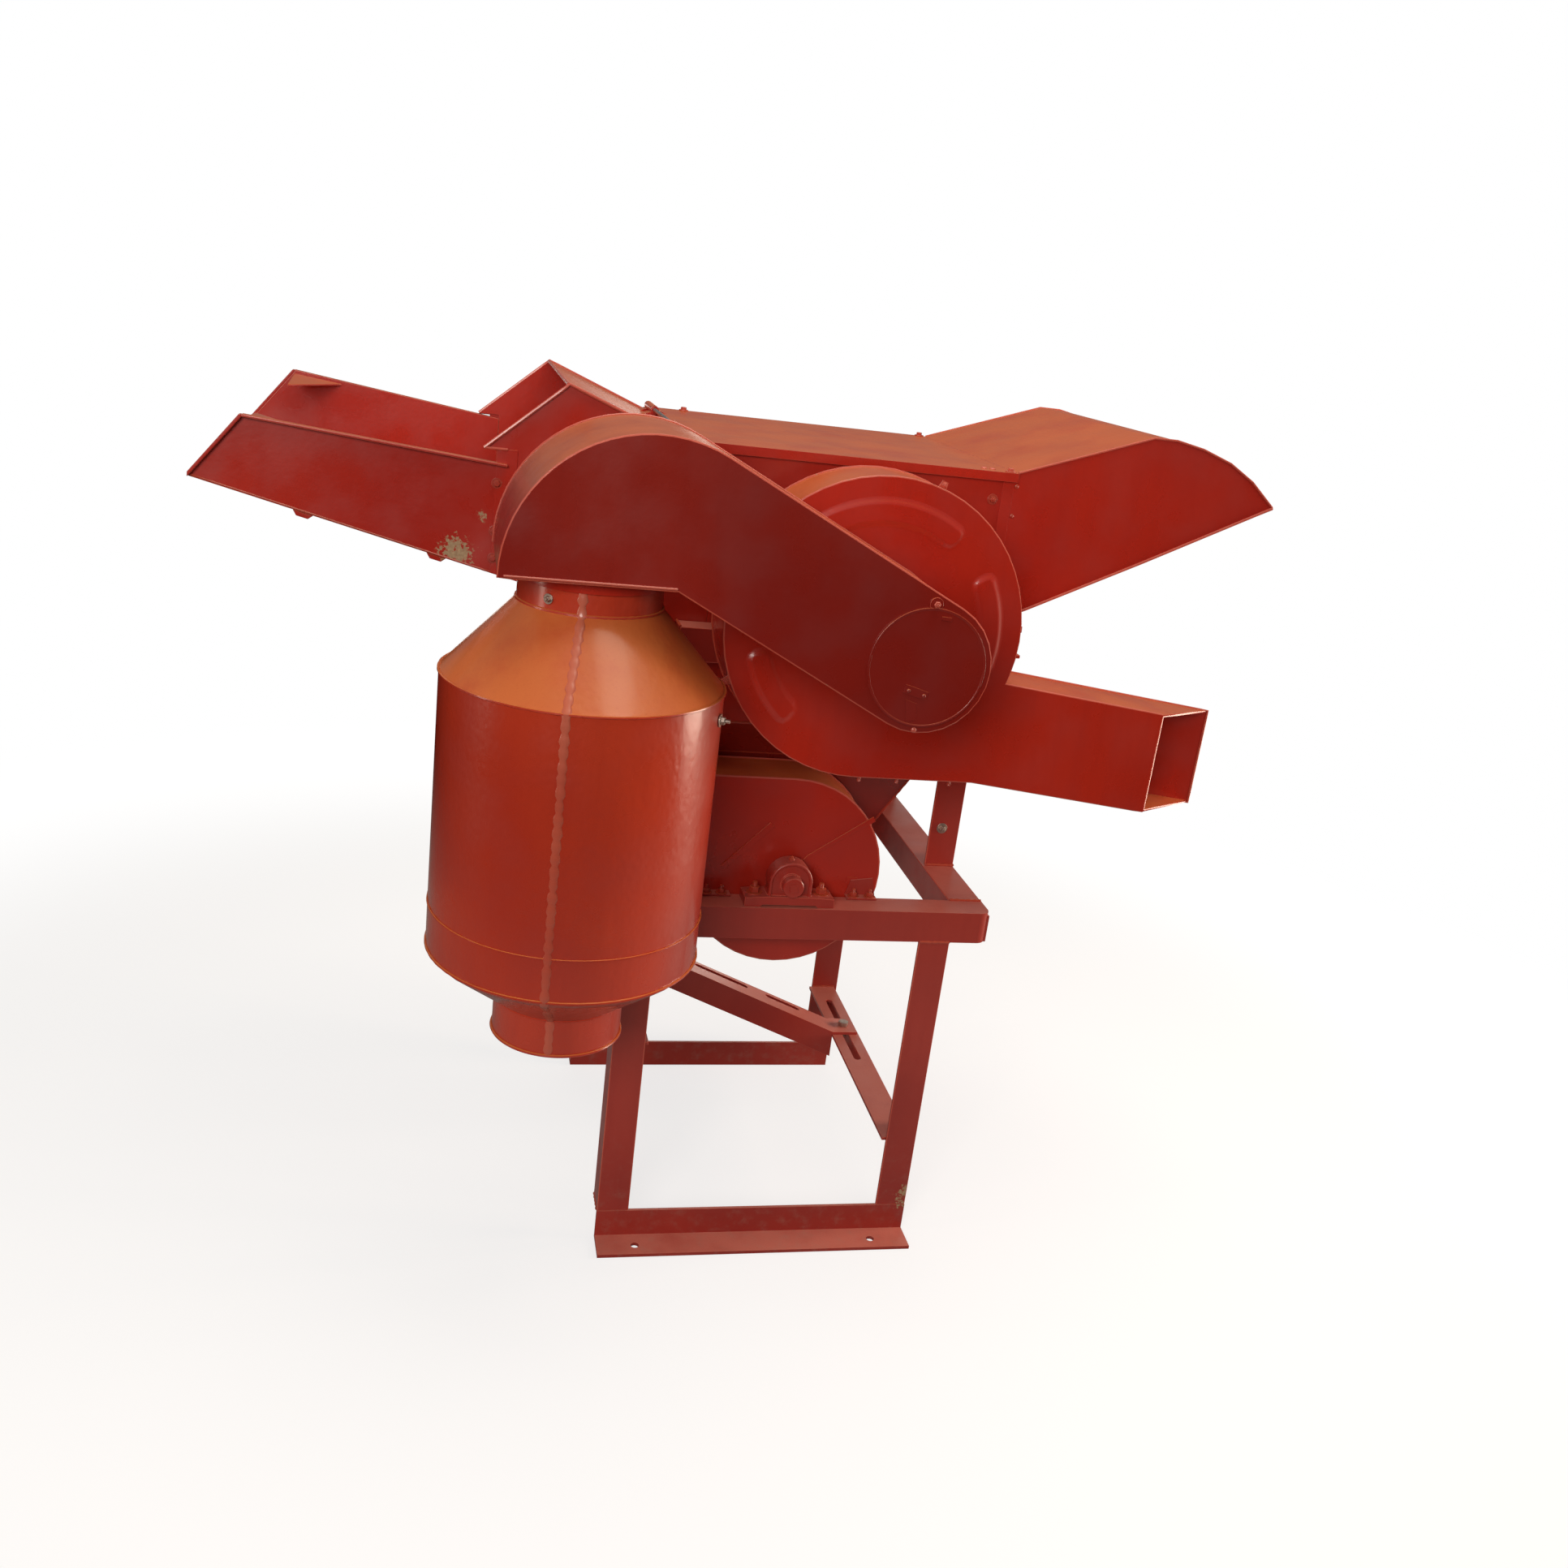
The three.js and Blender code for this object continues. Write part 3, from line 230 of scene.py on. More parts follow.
tray_chips = tuple(at(-478, 100, 968))
tray_scratch = tuple(at(-447, 100, 1016))
leg_scuff = tuple(at(234, 0, 60))
BRIGHT = rgb(0.52, 0.026, 0.011)
DEEP = rgb(0.38, 0.016, 0.008)
# DUST_AND_TOP_LIGHT and PINK_DUST_AND_SHEEN are dust colours that also paint the warm light and the pale
# sheen on upward faces.
DUST_AND_TOP_LIGHT = rgb(0.60, 0.135, 0.034)
PINK_DUST_AND_SHEEN = rgb(0.62, 0.19, 0.14)
LOOKS = {
    "enamel": paint("enamel_red", BRIGHT, DEEP, DUST_AND_TOP_LIGHT, 0.3, dust_and_light_share=0.9,
                    chips=((tray_chips, 0.05, 0.79), (tray_scratch, 0.018, 0.82))),
    "enamel_dark": paint("enamel_brick", rgb(0.3, 0.018, 0.01), rgb(0.22, 0.011, 0.007), DUST_AND_TOP_LIGHT, 0.3,
                         dust_and_light_share=0.85),
    "rail_paint": paint("rail_red", rgb(0.42, 0.04, 0.026), rgb(0.3, 0.022, 0.015), PINK_DUST_AND_SHEEN, 0.34,
                        dust_and_light_share=0.85, chips=((leg_scuff, 0.05, 0.83),)),
    "cast_paint": paint("casting_red", rgb(0.42, 0.032, 0.018), rgb(0.3, 0.02, 0.012), PINK_DUST_AND_SHEEN, 0.42,
                        hammered=0.35),
    "bare_steel": bare_metal("bare_steel", rgb(0.52, 0.52, 0.53), rgb(0.36, 0.36, 0.37)),
    "hammer_steel": bare_metal("hammer_steel", rgb(0.34, 0.34, 0.36), rgb(0.2, 0.2, 0.21), 0.42),
    "bolt_steel": bare_metal("bolt_steel", rgb(0.58, 0.5, 0.44), rgb(0.42, 0.3, 0.24), 0.38,
                             grain=(1.0, 1.0, 1.0)),
    "belt_rubber": rubber("belt_rubber"),
    # The cyclone's orange dust colour is partly a painted highlight on its cone and other upward faces.
    "cyclone": paint("enamel_hammered", rgb(0.56, 0.05, 0.018), rgb(0.4, 0.026, 0.011),
                     rgb(0.68, 0.18, 0.04), 0.3, hammered=0.4, dust_and_light_share=0.95, coat=0.6),
    # Edge paint: wear, and a lighter colour than the faces as a painted highlight where rounded edges catch
    # the light.
    "edge": paint("worn_lit_edge", rgb(0.62, 0.12, 0.075), rgb(0.5, 0.07, 0.045), PINK_DUST_AND_SHEEN, 0.28, worn=0.02),
    "seam": paint("seam_bead", rgb(0.6, 0.15, 0.09), rgb(0.44, 0.05, 0.025), DUST_AND_TOP_LIGHT, 0.3),
    "weld": paint("weld_bead", rgb(0.5, 0.06, 0.03), rgb(0.32, 0.026, 0.014), DUST_AND_TOP_LIGHT, 0.34, hammered=0.2),
}
CAD_LOOK = {"cyclone": "cyclone"}
EDGE_WIDTH = {"default": 0.8, "rail_paint": 1.3, "cast_paint": 1.4, "bare_steel": 0.6, "hammer_steel": 1.0}


# ---------------------------------------------------------------- smooth shading and rounded edges
def shading_group():
    """A node group that keeps edges sharper than 40 degrees and smooths the rest."""
    group = bpy.data.node_groups.new("smooth_by_angle", "GeometryNodeTree")
    group.interface.new_socket("Geometry", in_out="INPUT", socket_type="NodeSocketGeometry")
    group.interface.new_socket("Geometry", in_out="OUTPUT", socket_type="NodeSocketGeometry")
    start = group.nodes.new("NodeGroupInput")
    end = group.nodes.new("NodeGroupOutput")
    angle = group.nodes.new("GeometryNodeInputMeshEdgeAngle")
    below = group.nodes.new("FunctionNodeCompare")
    below.operation = "LESS_THAN"
    below.inputs[1].default_value = math.radians(40)
    faces = group.nodes.new("GeometryNodeSetShadeSmooth")
    edges = group.nodes.new("GeometryNodeSetShadeSmooth")
    edges.domain = "EDGE"
    link = group.links.new
    link(angle.outputs["Unsigned Angle"], below.inputs[0])
    link(start.outputs[0], faces.inputs["Geometry"])
    link(faces.outputs["Geometry"], edges.inputs["Geometry"])
    link(below.outputs[0], edges.inputs["Shade Smooth"])
    link(edges.outputs["Geometry"], end.inputs[0])
    return group


SHADING = shading_group()


def round_edges(obj, width, dissolve=True):
    """Joins the split corners, rounds the sharp edges and gives the rounding the worn paint, whose lighter
    colour is a painted highlight.
    """
    for name in ("custom_normal", "sharp_edge", "sharp_face"):
        found = obj.data.attributes.get(name)
        if found:
            obj.data.attributes.remove(found)
    weld = obj.modifiers.new("weld", "WELD")
    weld.merge_threshold = 0.00002
    if dissolve:
        flat = obj.modifiers.new("flat", "DECIMATE")
        flat.decimate_type = "DISSOLVE"
        flat.angle_limit = math.radians(0.4)
    if width:
        bevel = obj.modifiers.new("bevel", "BEVEL")
        bevel.width = width * MM
        bevel.segments = 2
        bevel.limit_method = "ANGLE"
        bevel.angle_limit = math.radians(42)
        bevel.use_clamp_overlap = True
        # The rounding takes the lighter edge paint: a painted highlight along the edges.
        bevel.material = 1 if len(obj.data.materials) > 1 else -1
    smooth = obj.modifiers.new("smooth", "NODES")
    smooth.node_group = SHADING
    normals = obj.modifiers.new("normals", "WEIGHTED_NORMAL")
    normals.keep_sharp = True
    normals.weight = 60


def dress_cad():
    """Gives every CAD node its look, and rounds its edges by a width in mm that depends on the look."""
    slots = {row["node"]: row["material_slot"] for row in frame["record"]["subparts"]}
    painted = ("enamel", "enamel_dark", "rail_paint", "cast_paint")
    for name, obj in NODES.items():
        slot = slots[name]
        obj.data.materials.clear()
        obj.data.materials.append(LOOKS[CAD_LOOK.get(name, slot)])
        if slot in painted:
            # Second slot: the lighter edge paint, a painted highlight on the rounded edges.
            obj.data.materials.append(LOOKS["edge"])
        round_edges(obj, EDGE_WIDTH.get(slot, EDGE_WIDTH["default"]))


dress_cad()


# ---------------------------------------------------------------- mesh building
class Shape:
    """Closed shells gathered into one mesh."""

    def __init__(self):
        self.verts = []
        self.faces = []

    def ring(self, points):
        first = len(self.verts)
        self.verts.extend(points)
        return list(range(first, len(self.verts)))

    def bridge(self, a, b):
        count = len(a)
        for i in range(count):
            j = (i + 1) % count
            self.faces.append((a[i], a[j], b[j], b[i]))

    def turned(self, centre, axis, profile, steps=20, turn=0.0):
        """Revolves (radius, height) pairs in mm about an axis. Height grows along the axis."""
        axis = axis.normalized()
        side = axis.orthogonal().normalized()
        other = axis.cross(side)
        rings = []
        for radius, height in profile:
            ring = []
            for i in range(steps):
                a = turn + 2 * math.pi * i / steps
                out = (side * math.cos(a) + other * math.sin(a)) * radius * MM
                ring.append(centre + out + axis * height * MM)
            rings.append(self.ring(ring))
        self.faces.append(tuple(reversed(rings[0])))
        for low, high in zip(rings, rings[1:]):
            self.bridge(low, high)
        self.faces.append(tuple(rings[-1]))

    def plate(self, outline, push):
        """A flat outline pushed along a vector into a closed slab."""
        normal = (outline[1] - outline[0]).cross(outline[2] - outline[1])
        total = Vector()
        for i, p in enumerate(outline):
            total += p.cross(outline[(i + 1) % len(outline)])
        if total.dot(push) < 0 or (total.length < 1e-12 and normal.dot(push) < 0):
            outline = list(reversed(outline))
        low = self.ring(list(outline))
        high = self.ring([p + push for p in outline])
        self.faces.append(tuple(reversed(low)))
        self.bridge(low, high)
        self.faces.append(tuple(high))

    def tube(self, path, radius, closed=False, sides=8, ripple=0.0, squash=1.0, across=None):
        """A bead along a path. Ripple varies its radius as weld metal does, and across is its wide side."""
        count = len(path)
        rings = []
        previous = across
        for i, point in enumerate(path):
            after = path[(i + 1) % count] if closed or i + 1 < count else point
            before = path[i - 1] if closed or i > 0 else point
            ahead = (after - before).normalized()
            side = previous - ahead * previous.dot(ahead) if previous else ahead.orthogonal()
            side.normalize()
            previous = side
            other = ahead.cross(side)
            r = radius * MM * (1 + ripple * (0.7 * math.sin(i * 2.1) + random.uniform(-0.5, 0.5)))
            ring = []
            for k in range(sides):
                a = 2 * math.pi * k / sides
                ring.append(point + side * math.cos(a) * r + other * math.sin(a) * r * squash)
            rings.append(self.ring(ring))
        for a, b in zip(rings, rings[1:]):
            self.bridge(a, b)
        if closed:
            twist = self.best_turn(rings[-1], rings[0])
            self.bridge(rings[-1], rings[0][twist:] + rings[0][:twist])
        else:
            self.faces.append(tuple(reversed(rings[0])))
            self.faces.append(tuple(rings[-1]))

    def best_turn(self, a, b):
        count = len(a)
        cost = []
        for t in range(count):
            cost.append(sum((self.verts[a[i]] - self.verts[b[(i + t) % count]]).length for i in range(count)))
        return cost.index(min(cost))

    def bolt(self, centre, axis, across=10.0, height=5.5, washer=True, stud=0.0, turn=0.3):
        """A hexagon head or nut on its washer, with the stud's end standing out of it."""
        base = 0.0
        if washer:
            r = across * 0.92
            self.turned(centre, axis, [(r * 0.96, 0), (r, 0.3), (r, 1.3), (r * 0.96, 1.6)], 20)
            base = 1.6
        r = across / 2 / math.cos(math.pi / 6)
        profile = [(r * 0.93, base), (r, base + 0.5), (r, base + height - 0.9), (r * 0.86, base + height)]
        self.turned(centre, axis, profile, 6, turn)
        if stud:
            s = across * 0.29
            top = base + height + stud
            turns = [(s, base + height - 0.2)]
            level = base + height
            while level < top - 1.2:
                turns += [(s, level), (s * 0.88, level + 0.5)]
                level += 1.0
            turns += [(s, top - 0.8), (s * 0.75, top)]
            self.turned(centre, axis, turns, 12)

    def rivet(self, centre, axis, radius=4.0, height=2.4):
        arc = [(radius * math.cos(a), height * math.sin(a)) for a in (0, 0.35, 0.75, 1.15, 1.45)]
        self.turned(centre, axis, arc, 16)

    def make(self, name, body, look, bevel=0.0):
        mesh = bpy.data.meshes.new(name)
        mesh.from_pydata([tuple(v) for v in self.verts], [], self.faces)
        mesh.validate()
        mesh.materials.append(LOOKS[look])
        obj = bpy.data.objects.new(name, mesh)
        bpy.context.scene.collection.objects.link(obj)
        if bevel:
            cut = obj.modifiers.new("bevel", "BEVEL")
            cut.width = bevel * MM
            cut.segments = 2
            cut.limit_method = "ANGLE"
            cut.angle_limit = math.radians(42)
        obj.modifiers.new("smooth", "NODES").node_group = SHADING
        normals = obj.modifiers.new("normals", "WEIGHTED_NORMAL")
        normals.keep_sharp = True
        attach(obj, body)
        return obj


def circle(centre, axis, radius, steps=72):
    """Points round an axis, without a repeated last point."""
    axis = axis.normalized()
    side = axis.orthogonal().normalized()
    other = axis.cross(side)
    points = []
    for i in range(steps):
        a = math.radians(360.0 * i / steps)
        points.append(centre + (side * math.cos(a) + other * math.sin(a)) * radius * MM)
    return points


def flat_loops(node, axis, level, tolerance=0.00003):
    """The closed outlines of a CAD node's flat face at a level along one axis, longest first."""
    mesh = NODES[node].data
    following = {}
    places = {}
    for face in mesh.polygons:
        corners = [mesh.vertices[i].co for i in face.vertices]
        if any(abs(c[axis] - level) > tolerance for c in corners):
            continue
        keys = [tuple(round(v, 5) for v in c) for c in corners]
        for i, key in enumerate(keys):
            places[key] = corners[i]
            nxt = keys[(i + 1) % len(keys)]
            if key in following.get(nxt, ()):
                following[nxt].discard(key)
            else:
                following.setdefault(key, set()).add(nxt)
    loops = []
    while any(following.values()):
        start = next(k for k, v in following.items() if v)
        loop, here = [start], following[start].pop()
        while here != start and following.get(here):
            loop.append(here)
            here = following[here].pop()
        loops.append([Vector(places[k]) for k in loop])
    length = lambda loop: sum((loop[i] - loop[i - 1]).length for i in range(len(loop)))
    return sorted(loops, key=length, reverse=True)


def walk(loop, step=5.0, closed=True):
    """A loop resampled so that no stretch is longer than step mm."""
    out = []
    for i in range(len(loop) if closed else len(loop) - 1):
        a, b = loop[i], loop[(i + 1) % len(loop)]
        pieces = max(1, int((b - a).length / (step * MM)))
        out.extend(a.lerp(b, k / pieces) for k in range(pieces))
    if not closed:
        out.append(loop[-1])
    return out


# ---------------------------------------------------------------- folded rims of the sheet housings
def rims():
    """A bead round the outer edge of the duct, the fan housing and the drum, on their front and back."""
    spine = Shape()
    for node in ("suction_duct", "fan_housing", "thrower_casing"):
        low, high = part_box(node)
        front = DATUM.y - 249 * MM if node == "suction_duct" else low.y
        for level, inward in ((front, 1.0), (high.y, -1.0)):
            push = Vector((0, inward * 2.0 * MM, 0))
            outline = flat_loops(node, 1, level)[0]
            spine.tube([p + push for p in walk(outline, 12)], 1.7, closed=True)
    # The rims wear the edge paint, whose lighter colour paints a highlight along them.
    spine.make("folded_rims", "machine", "edge")


rims()


# ---------------------------------------------------------------- weld beads
# A point on the fan's axis, the cyclone's axis at the ground, and a point on the throwing drum's axis.
FAN_C = at(48, 0, 935.6)
CYC = at(-328, -141, 0)
DRUM = at(-7, 0, 564.6)


def cyclone_welds():
    """Ring welds and rolled rims of the cyclone, and the upright seam down its front."""
    bead = Shape()
    seam = []
    a = math.radians(-101)
    out = Vector((math.cos(a), math.sin(a), 0))
    for r, z in ((83.5, 1010), (83.5, 971), (165, 882), (165, 542), (159, 534), (80, 474), (80, 428)):
        seam.append(CYC + (out * r + Z * z) * MM)
    for r, z, w in ((165.2, 882, 1.7), (165.2, 542, 1.7), (84.0, 971, 1.8), (80.4, 474.5, 1.8)):
        bead.tube(circle(CYC + Z * z * MM, Z, r, 150), w, closed=True, sides=6, ripple=0.12)
    bead.tube(circle(CYC + Z * 596 * MM, Z, 165.3, 120), 1.1, closed=True, sides=6, ripple=0.1)
    bead.tube(circle(CYC + Z * 1009.6 * MM, Z, 84.5, 110), 2.2, closed=True, sides=6, ripple=0.16)
    bead.tube(circle(CYC + Z * 426.5 * MM, Z, 80.4, 110), 2.0, closed=True, sides=8)
    bead.make("cyclone_welds", "machine", "cyclone")
    front = Shape()
    front.tube(walk(seam, 5.0, closed=False), 4.8, sides=10, ripple=0.3, squash=0.4, across=Z.cross(out))
    front.make("cyclone_front_seam", "machine", "seam")


def frame_welds():
    """Fillets where the legs, rails, posts and cross angles meet."""
    bead = Shape()

    def run(*points, r=2.4):
        bead.tube(walk([at(*p) for p in points], 3.0, closed=False), r, sides=7, ripple=0.22)

    for sx in (-1, 1):
        x0, x1 = sx * 233, sx * 189
        for y0, y1 in ((1, 45), (495, 539)):
            run((x0, y0 + (5 if y0 < 100 else 0), 46), (x0, y1, 46))
            run((x0, y0, 485), (x1, y0, 485))
            run((x0, y0, 485), (x0, y1, 485))
        for top, y in ((161 if sx > 0 else 320, 5.5), (161 if sx > 0 else 320, 493.5)):
            run((sx * 228, y, top), (sx * 190, y, top), r=2.0)
    for y in (46, 494):
        run((-233, y, 531.2), (-189, y, 531.2))
        run((241, y, 531.2), (289, y, 531.2))
    for x0, x1 in ((-233, -189), (289, 245)):
        for y0 in (178, 494):
            run((x0, y0, 532), (x0, y0 + 45, 532))
            run((x0, y0, 532), (x1, y0, 532))
    run((289, 178, 850), (289, 223, 850), r=2.0)
    run((-233, 178, 834), (-233, 223, 834), r=2.0)
    run((-187.5, 62, 902), (-187.5, 99, 902), r=2.0)
    run((243.7, 62, 897), (243.7, 99, 897), r=2.0)
    run((-187.5, 529, 902), (-187.5, 566, 902), r=2.0)
    run((243.7, 529, 897), (243.7, 566, 897), r=2.0)
    bead.make("frame_welds", "machine", "weld")


def sheet_welds():
    """Fillets along the joints of the sheet housings."""
    bead = Shape()

    def run(*points, r=1.5):
        bead.tube(walk([at(*p) for p in points], 4.0, closed=False), r, sides=6, ripple=0.18)

    for y in (100, 528):
        run((-147, y, 768), (-147, y, 890))
        run((243, y, 768), (243, y, 930))
        run((-147, y, 764.8), (243, y, 764.8), r=1.8)
        run((-796, y, 1037), (-421, y, 943.5), r=1.3)
    for y in (146, 478):
        run((-117, y, 708), (206, y, 708), r=1.4)
    for corner in (((-147, 100, 764), (-117, 146, 708), (-75, 146, 615), (-75, 146, 500)),
                   ((243, 100, 764), (206, 146, 708), (145, 146, 615), (48, 146, 500)),
                   ((-147, 528, 764), (-117, 478, 708), (-75, 400, 615), (-75, 300, 500)),
                   ((243, 528, 764), (206, 478, 708), (145, 400, 615), (48, 300, 500))):
        run(*corner, r=1.6)
    run((-195.2, 54, 701.8), (-195.2, 138, 701.8))
    run((-195.2, 52, 602), (-195.2, 52, 700))
    bead.make("sheet_welds", "machine", "weld")


cyclone_welds()
frame_welds()
sheet_welds()


# ---------------------------------------------------------------- fan: pressed sectors, lugs, bolts
def sector(centre, y, inner, outer, from_deg, to_deg, steps=34):
    """Outline of an annular sector with rounded corners, on the plane y, in the row frame."""
    def polar(r, deg):
        a = math.radians(deg)
        return Vector((centre.x + r * MM * math.cos(a), DATUM.y + y * MM, centre.z + r * MM * math.sin(a)))

    soft = 13.0
    mid = (inner + outer) / 2
    points = []
    for r, first, last in ((outer, from_deg, to_deg), (inner, to_deg, from_deg)):
        sign = 1 if last > first else -1
        ease = math.degrees(soft / r) * sign
        for i in range(steps + 1):
            points.append(polar(r, first + ease + (last - first - 2 * ease) * i / steps))
        edge = r - soft * 0.3 if r > mid else r + soft * 0.3
        points.append(polar(edge, last - ease * 0.3))
        points.append(polar(r - soft if r > mid else r + soft, last))
        other = inner if r == outer else outer
        points.append(polar(other + soft if other < mid else other - soft, last))
        edge = other + soft * 0.3 if other < mid else other - soft * 0.3
        points.append(polar(edge, last - ease * 0.3))
    return points


def pressed_pad(shape, outline, rise):
    """A raised panel whose edge slopes down all round, so that it looks pressed from behind."""
    middle = sum(outline, Vector()) / len(outline)
    count = len(outline)

    def offset(amount):
        moved = []
        for i, p in enumerate(outline):
            tangent = (outline[(i + 1) % count] - outline[i - 1]).normalized()
            moved.append(p + Vector((-tangent.z, 0, tangent.x)) * amount * MM)
        return moved

    turn = sum((outline[i].x - middle.x) * (outline[(i + 1) % count].z - middle.z)
               - (outline[(i + 1) % count].x - middle.x) * (outline[i].z - middle.z) for i in range(count))
    inward = 1.0 if turn > 0 else -1.0
    levels = [(0.0, 0.0), (2.0, 0.08), (4.0, 0.3), (6.0, 0.62), (8.0, 0.88), (10.0, 1.0)]
    rings = []
    for inset, share in levels:
        rings.append(shape.ring([p - Y * rise * share * MM for p in offset(inset * inward)]))
    back = shape.ring([p + Y * 0.6 * MM for p in outline])
    order = 1 if turn > 0 else -1
    pairs = [back] + rings
    for a, b in zip(pairs, pairs[1:]):
        shape.bridge(a[::order], b[::order])
    shape.faces.append(tuple(rings[-1][::order]))
    shape.faces.append(tuple(back[::-order]))


def fan_details():
    """Three pressed sectors in the front plate, clip lugs round the rim, and the bolts behind."""
    face = Shape()
    pressed_pad(face, sector(FAN_C, -35, 134, 172, 52, 128), 3.0)
    pressed_pad(face, sector(FAN_C, -35, 134, 172, -18, 33), 3.0)
    pressed_pad(face, sector(FAN_C, -35, 134, 172, 192, 232), 3.0)
    face.make("fan_pressings", "machine", "enamel")
    lugs = Shape()
    for deg, y in ((71, -22), (3.5, -14), (139, -12), (204, -18)):
        a = math.radians(deg)
        out = Vector((math.cos(a), 0, math.sin(a)))
        root = Vector((FAN_C.x, DATUM.y + y * MM, FAN_C.z)) + out * 195.4 * MM
        along = Vector((-out.z, 0, out.x))
        lugs.plate([root - along * 6 * MM, root + along * 6 * MM, root + along * 4 * MM + out * 11 * MM,
                    root - along * 4 * MM + out * 11 * MM], Y * 3 * MM)
        lugs.bolt(root + out * 6 * MM - Y * 0.2 * MM, -Y, 7, 3.2, washer=False, stud=2)
    for x in (115, 62, 190):
        lugs.bolt(at(x, -8, 738.2 - 0.6), -Z, 9, 5, stud=7)
    lugs.make("fan_lugs", "machine", "edge", 0.4)
    back = Shape()
    middle = Vector((FAN_C.x, DATUM.y + 60.2 * MM, FAN_C.z))
    for i in range(10):
        a = math.radians(20 + 36 * i)
        if 250 < math.degrees(a) < 330:
            continue
        back.bolt(middle + Vector((math.cos(a), 0, math.sin(a))) * 150 * MM, Y, 8, 4)
    for i in range(6):
        a = math.radians(30 + 60 * i)
        back.bolt(middle + Vector((math.cos(a), 0, math.sin(a))) * 34 * MM, Y, 7, 3.5)
    back.make("fan_back_bolts", "machine", "bolt_steel", bevel=0.3)


fan_details()


# ---------------------------------------------------------------- suction duct, eye cover, cyclone fittings
def duct_details():
    """The latch and raised ring of the eye cover, its pivot and stop, and the duct's floor fold."""
    cover = Shape()
    centre = at(48, -251.5, 946)
    ridge = [(70.0, -1.6), (70.2, 0.2), (69.6, 0.5), (68.6, 0.5), (67.6, 0.1), (67.4, -0.6)]
    rings = []
    for r, h in ridge:
        rings.append(cover.ring(circle(centre - Y * h * MM, -Y, r, 72)))
    for a, b in zip(rings, rings[1:]):
        cover.bridge(a, b)
    cover.bridge(rings[-1], rings[0])
    cover.plate([at(26, -251.3, 926), at(54, -251.3, 918), at(52, -251.3, 908), at(24, -251.3, 916)],
                -Y * 1.6 * MM)
    cover.rivet(at(29.5, -253, 918.5), -Y, 2.6, 1.6)
    cover.rivet(at(48.5, -253, 913.5), -Y, 2.6, 1.6)
    cover.plate([at(28, -251.3, 908), at(42, -251.3, 904), at(44, -251.3, 884), at(32, -251.3, 882)],
                -Y * 0.9 * MM)
    cover.plate([at(56, -251.3, 1003), at(68, -251.3, 1002), at(68, -251.3, 1006.5), at(56, -251.3, 1007)],
                -Y * 2 * MM)
    cover.make("eye_cover_latch", "eye_cover", "enamel_dark", bevel=0.25)
    fixed = Shape()
    fixed.bolt(at(48, -253.0, 1020), -Y, 7.5, 2.2, washer=False, stud=1.2)
    fixed.rivet(at(44, -249.2, 871.5), -Y, 3.4, 2.0)
    fixed.make("eye_cover_stops", "machine", "edge", 0.3)
    band = Shape()
    band.tube(walk([at(-437 + 6, -250.2, 1014), at(-246, -250.2, 1014)], 10, closed=False), 1.4, sides=6)
    band.make("duct_floor_fold", "machine", "edge")


def cyclone_details():
    """Two clamp bolts and the flat collar round the neck."""
    fittings = Shape()
    a = math.radians(-22)
    out = Vector((math.cos(a), math.sin(a), 0))
    fittings.bolt(CYC + out * 165.2 * MM + Z * 856 * MM, out, 9, 5, stud=6)
    a = math.radians(-128)
    out = Vector((math.cos(a), math.sin(a), 0))
    fittings.bolt(CYC + out * 83.7 * MM + Z * 984 * MM, out, 6.5, 3, stud=2)
    fittings.make("cyclone_bolts", "machine", "bolt_steel", bevel=0.3)
    collar = Shape()
    rings = []
    for r, z in ((83.7, 996), (86.6, 996.4), (86.8, 1000), (86.8, 1008), (83.7, 1008.6)):
        rings.append(collar.ring(circle(CYC + Z * z * MM, Z, r, 96)))
    for p, q in zip(rings, rings[1:]):
        collar.bridge(p, q)
    collar.bridge(rings[-1], rings[0])
    collar.make("cyclone_neck_collar", "machine", "enamel", bevel=0.0)


duct_details()
cyclone_details()


# ---------------------------------------------------------------- throwing drum and the pillow blocks
def drum_details():
    """Flat ribs on the drum's front plate, its feet on the bearing rail, and their bolts."""
    face = Shape()
    strip = [at(14, 51.9, 581), at(22, 51.9, 591), at(110, 51.9, 653), at(114, 51.9, 646)]
    face.plate(strip, -Y * 2.2 * MM)
    face.plate([at(84, 51.9, 548), at(100, 51.9, 548), at(100, 51.9, 560), at(84, 51.9, 560)], -Y * 1.2 * MM)
    face.plate([at(-100, 51.9, 571), at(-94, 51.9, 566), at(-30, 51.9, 632), at(-37, 51.9, 638)],
               -Y * 2.2 * MM)
    face.make("drum_ribs", "machine", "enamel", bevel=0.9)
    feet = Shape()
    feet.plate([at(84, 36, 531.2), at(128, 36, 531.2), at(128, 60, 531.2), at(84, 60, 531.2)], Z * 3 * MM)
    feet.plate([at(84, 49, 534), at(128, 49, 534), at(122, 49, 560), at(90, 49, 556)], Y * 3 * MM)
    feet.plate([at(-128, 36, 531.2), at(-84, 36, 531.2), at(-84, 60, 531.2), at(-128, 60, 531.2)], Z * 3 * MM)
    feet.make("drum_feet", "machine", "rail_paint", bevel=0.6)
    bolts = Shape()
    for x in (-118, -97, 94, 118):
        bolts.bolt(at(x, 41, 534.3), Z, 9, 5, stud=6)
    bolts.make("drum_foot_bolts", "machine", "weld", 0.3)


# A pillow block, in mm: its dome, its bolts' distance from the axis, its foot's top and its axis height.
DOME_R = 28.2
BOLT_SPREAD = 47.5
FOOT_TOP = 13.6
AXIS_HEIGHT = 33.3


